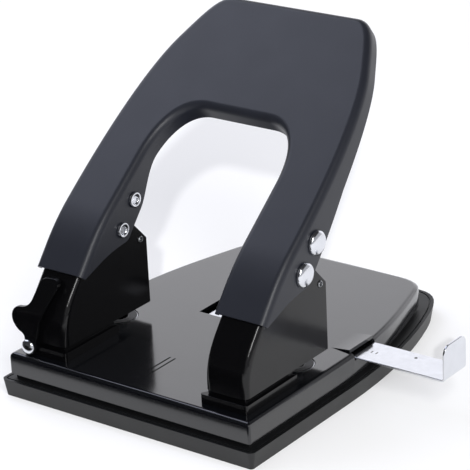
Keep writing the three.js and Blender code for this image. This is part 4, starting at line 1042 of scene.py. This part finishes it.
def soft_room(tree):
    """An even room for the light it gives; polish shows its pale walls, a black curtain and a dim ceiling."""
    direction = node(tree, "ShaderNodeTexCoord").outputs["Generated"]
    wall = facing(tree, direction, aim=(-0.6, 0.8, 0), cosines=(0.3, 0.65), levels=WALL_LEVELS)
    below = facing(tree, direction, aim=(0, 0, -1), cosines=(-0.58, -0.45), levels=(0, 1))
    curtain = facing(tree, direction, aim=(-0.6, -0.8, 0), cosines=(0.2, 0.6), levels=(1, 0))
    for mask in (below, curtain):
        wall = node(tree, "ShaderNodeMath", [(0, wall), (1, mask)], operation="MULTIPLY").outputs[0]
    inside = node(tree, "ShaderNodeMath", [(0, wall), (1, CEILING_LEVEL)], operation="ADD").outputs[0]
    mirrored = node(tree, "ShaderNodeLightPath").outputs["Is Glossy Ray"]
    shown = node(
        tree, "ShaderNodeMapRange", [("Value", mirrored), ("To Min", 1.0), ("To Max", inside)]
    ).outputs["Result"]
    seen = seen_directly(tree)
    strength = node(
        tree, "ShaderNodeMapRange", [("Value", seen), ("To Min", ROOM_LEVEL), ("To Max", shown)]
    ).outputs["Result"]
    sky = node(tree, "ShaderNodeBackground", [("Strength", strength), ("Color", (*linear(ROOM_COLOUR), 1))])
    node(tree, "ShaderNodeOutputWorld", [("Surface", sky.outputs["Background"])])


def black_card():
    """Black velour card, seen only in polish: it takes the shine off the fronts."""
    material, tree, _ = finish_tree("Black velour card")
    velour = node(tree, "ShaderNodeBsdfDiffuse", [("Color", (VELOUR_SHADE,) * 3 + (1,))])
    node(tree, "ShaderNodeOutputMaterial", [("Surface", velour.outputs["BSDF"])])
    return material


def stage_sheet(name, size, place, material):
    """A flat sheet that belongs to the stage."""
    bm = bmesh.new()
    bmesh.ops.create_grid(bm, x_segments=2, y_segments=2, size=0.5)
    bmesh.ops.scale(bm, vec=(size[0], size[1], 1), verts=bm.verts)
    bmesh.ops.translate(bm, vec=place, verts=bm.verts)
    mesh = bpy.data.meshes.new(name)
    bm.to_mesh(mesh)
    bm.free()
    mesh.materials.append(material)
    sheet = bpy.data.objects.new(name, mesh)
    bpy.context.scene.collection.objects.link(sheet)
    return sheet


def build_stage():
    scene = bpy.context.scene
    scene.view_settings.view_transform = "Standard"
    stage_sheet("floor", FLOOR_SIZE, (0, 0, 0), floor_paper())
    card = stage_sheet("black_card", CARD_SIZE, CARD_PLACE, black_card())
    card.visible_camera = False
    card.visible_diffuse = False
    card.visible_shadow = False
    world = bpy.data.worlds.new("Soft white room")
    scene.world = world
    world.use_nodes = True
    world.node_tree.nodes.clear()
    soft_room(world.node_tree)
    aimed_lamp(
        "Top softbox", "AREA", place=(-0.68, 0.08, 0.85), aim=(0, 0, 0.06), energy=3.8,
        size=0.75, color=linear("#e6ebff"),
    )
    aimed_lamp(
        "Side strip", "AREA", place=(0.62, -0.5, 0.62), aim=(0, 0, 0.05), energy=3.5,
        shape="RECTANGLE", size=0.12, size_y=0.5,
    )
    key = aimed_lamp(
        "Key lamp", "SUN", place=(0.8, -1.1, 0.65), aim=(0, 0, 0), energy=1.9, angle=math.radians(1.8)
    )
    key.visible_glossy = False
    camera = bpy.data.cameras.new("Camera")
    camera.lens = CAMERA_LENS
    camera.sensor_width = CAMERA_SENSOR
    camera.clip_start = CAMERA_NEAR
    holder = bpy.data.objects.new("Camera", camera)
    turn = Matrix((CAMERA_RIGHT, CAMERA_UP, CAMERA_BACK)).transposed().to_4x4()
    holder.matrix_world = Matrix.Translation(CAMERA_PLACE) @ turn
    scene.collection.objects.link(holder)
    scene.camera = holder


# Operators


class PieceOperator:
    """What every operator here shares"""

    bl_options = {"REGISTER", "UNDO"}

    def execute(self, context):
        self.build()
        return {"FINISHED"}


class PUNCH_OT_handle(PieceOperator, bpy.types.Operator):
    """Makes the handle: one pressed channel up one leg, round the top and down the other"""

    bl_idname = "punch.handle"
    bl_label = "Handle"
    build = staticmethod(build_handle)


class PUNCH_OT_heads(PieceOperator, bpy.types.Operator):
    """Makes the two folded head frames and their foot blocks"""

    bl_idname = "punch.heads"
    bl_label = "Punch heads"
    build = staticmethod(build_heads)


class PUNCH_OT_cross_rivets(PieceOperator, bpy.types.Operator):
    """Makes the four domed cross rivets"""

    bl_idname = "punch.cross_rivets"
    bl_label = "Cross rivets"
    build = staticmethod(build_cross_rivets)


class PUNCH_OT_plungers(PieceOperator, bpy.types.Operator):
    """Makes the punches, their collars and their return springs"""

    bl_idname = "punch.plungers"
    bl_label = "Punches and springs"
    build = staticmethod(build_plungers)


class PUNCH_OT_dies(PieceOperator, bpy.types.Operator):
    """Makes the dies, guide blocks, stop pins and head rivets"""

    bl_idname = "punch.dies"
    bl_label = "Dies, blocks and pins"
    build = staticmethod(build_dies)


class PUNCH_OT_table(PieceOperator, bpy.types.Operator):
    """Makes the pressed table"""

    bl_idname = "punch.table"
    bl_label = "Table"
    build = staticmethod(build_table)


class PUNCH_OT_tray(PieceOperator, bpy.types.Operator):
    """Makes the chip tray"""

    bl_idname = "punch.tray"
    bl_label = "Chip tray"
    build = staticmethod(build_tray)


class PUNCH_OT_guide(PieceOperator, bpy.types.Operator):
    """Makes the sliding side guide and its runner"""

    bl_idname = "punch.guide"
    bl_label = "Side guide"
    build = staticmethod(build_guide)


class PUNCH_OT_lock(PieceOperator, bpy.types.Operator):
    """Makes the lock lever and its rivet"""

    bl_idname = "punch.lock"
    bl_label = "Lock lever"
    build = staticmethod(build_lock)


class PUNCH_OT_stage(PieceOperator, bpy.types.Operator):
    """Makes the floor, the black card, the room, the lamps and the camera"""

    bl_idname = "punch.stage"
    bl_label = "Stage"
    build = staticmethod(build_stage)


PIECES = (
    PUNCH_OT_stage,
    PUNCH_OT_tray,
    PUNCH_OT_table,
    PUNCH_OT_guide,
    PUNCH_OT_heads,
    PUNCH_OT_dies,
    PUNCH_OT_plungers,
    PUNCH_OT_cross_rivets,
    PUNCH_OT_handle,
    PUNCH_OT_lock,
)


class PUNCH_PT_sidebar(bpy.types.Panel):
    """Lists the punch's pieces, sizes and colours"""

    bl_label = "Two-hole punch"
    bl_idname = "PUNCH_PT_sidebar"
    bl_space_type = "VIEW_3D"
    bl_region_type = "UI"
    bl_category = "Punch"

    def draw(self, context):
        layout = self.layout
        for owner in (context.scene.punch_sizes, context.scene.punch_colours):
            box = layout.box()
            for name in owner.__annotations__:
                box.prop(owner, name)
        for piece in PIECES:
            layout.operator(piece.bl_idname)


CLASSES = (PunchSizes, PunchColours, *PIECES, PUNCH_PT_sidebar)


def register():
    for cls in CLASSES:
        bpy.utils.register_class(cls)
    bpy.types.Scene.punch_sizes = PointerProperty(type=PunchSizes)
    bpy.types.Scene.punch_colours = PointerProperty(type=PunchColours)


def unregister():
    del bpy.types.Scene.punch_colours
    del bpy.types.Scene.punch_sizes
    for cls in reversed(CLASSES):
        bpy.utils.unregister_class(cls)


def main():
    register()
    bpy.ops.punch.stage()
    bpy.ops.punch.tray()
    bpy.ops.punch.table()
    bpy.ops.punch.guide()
    bpy.ops.punch.heads()
    bpy.ops.punch.dies()
    bpy.ops.punch.plungers()
    bpy.ops.punch.cross_rivets()
    bpy.ops.punch.handle()
    bpy.ops.punch.lock()
    bpy.context.view_layer.update()


if __name__ == "__main__":
    main()
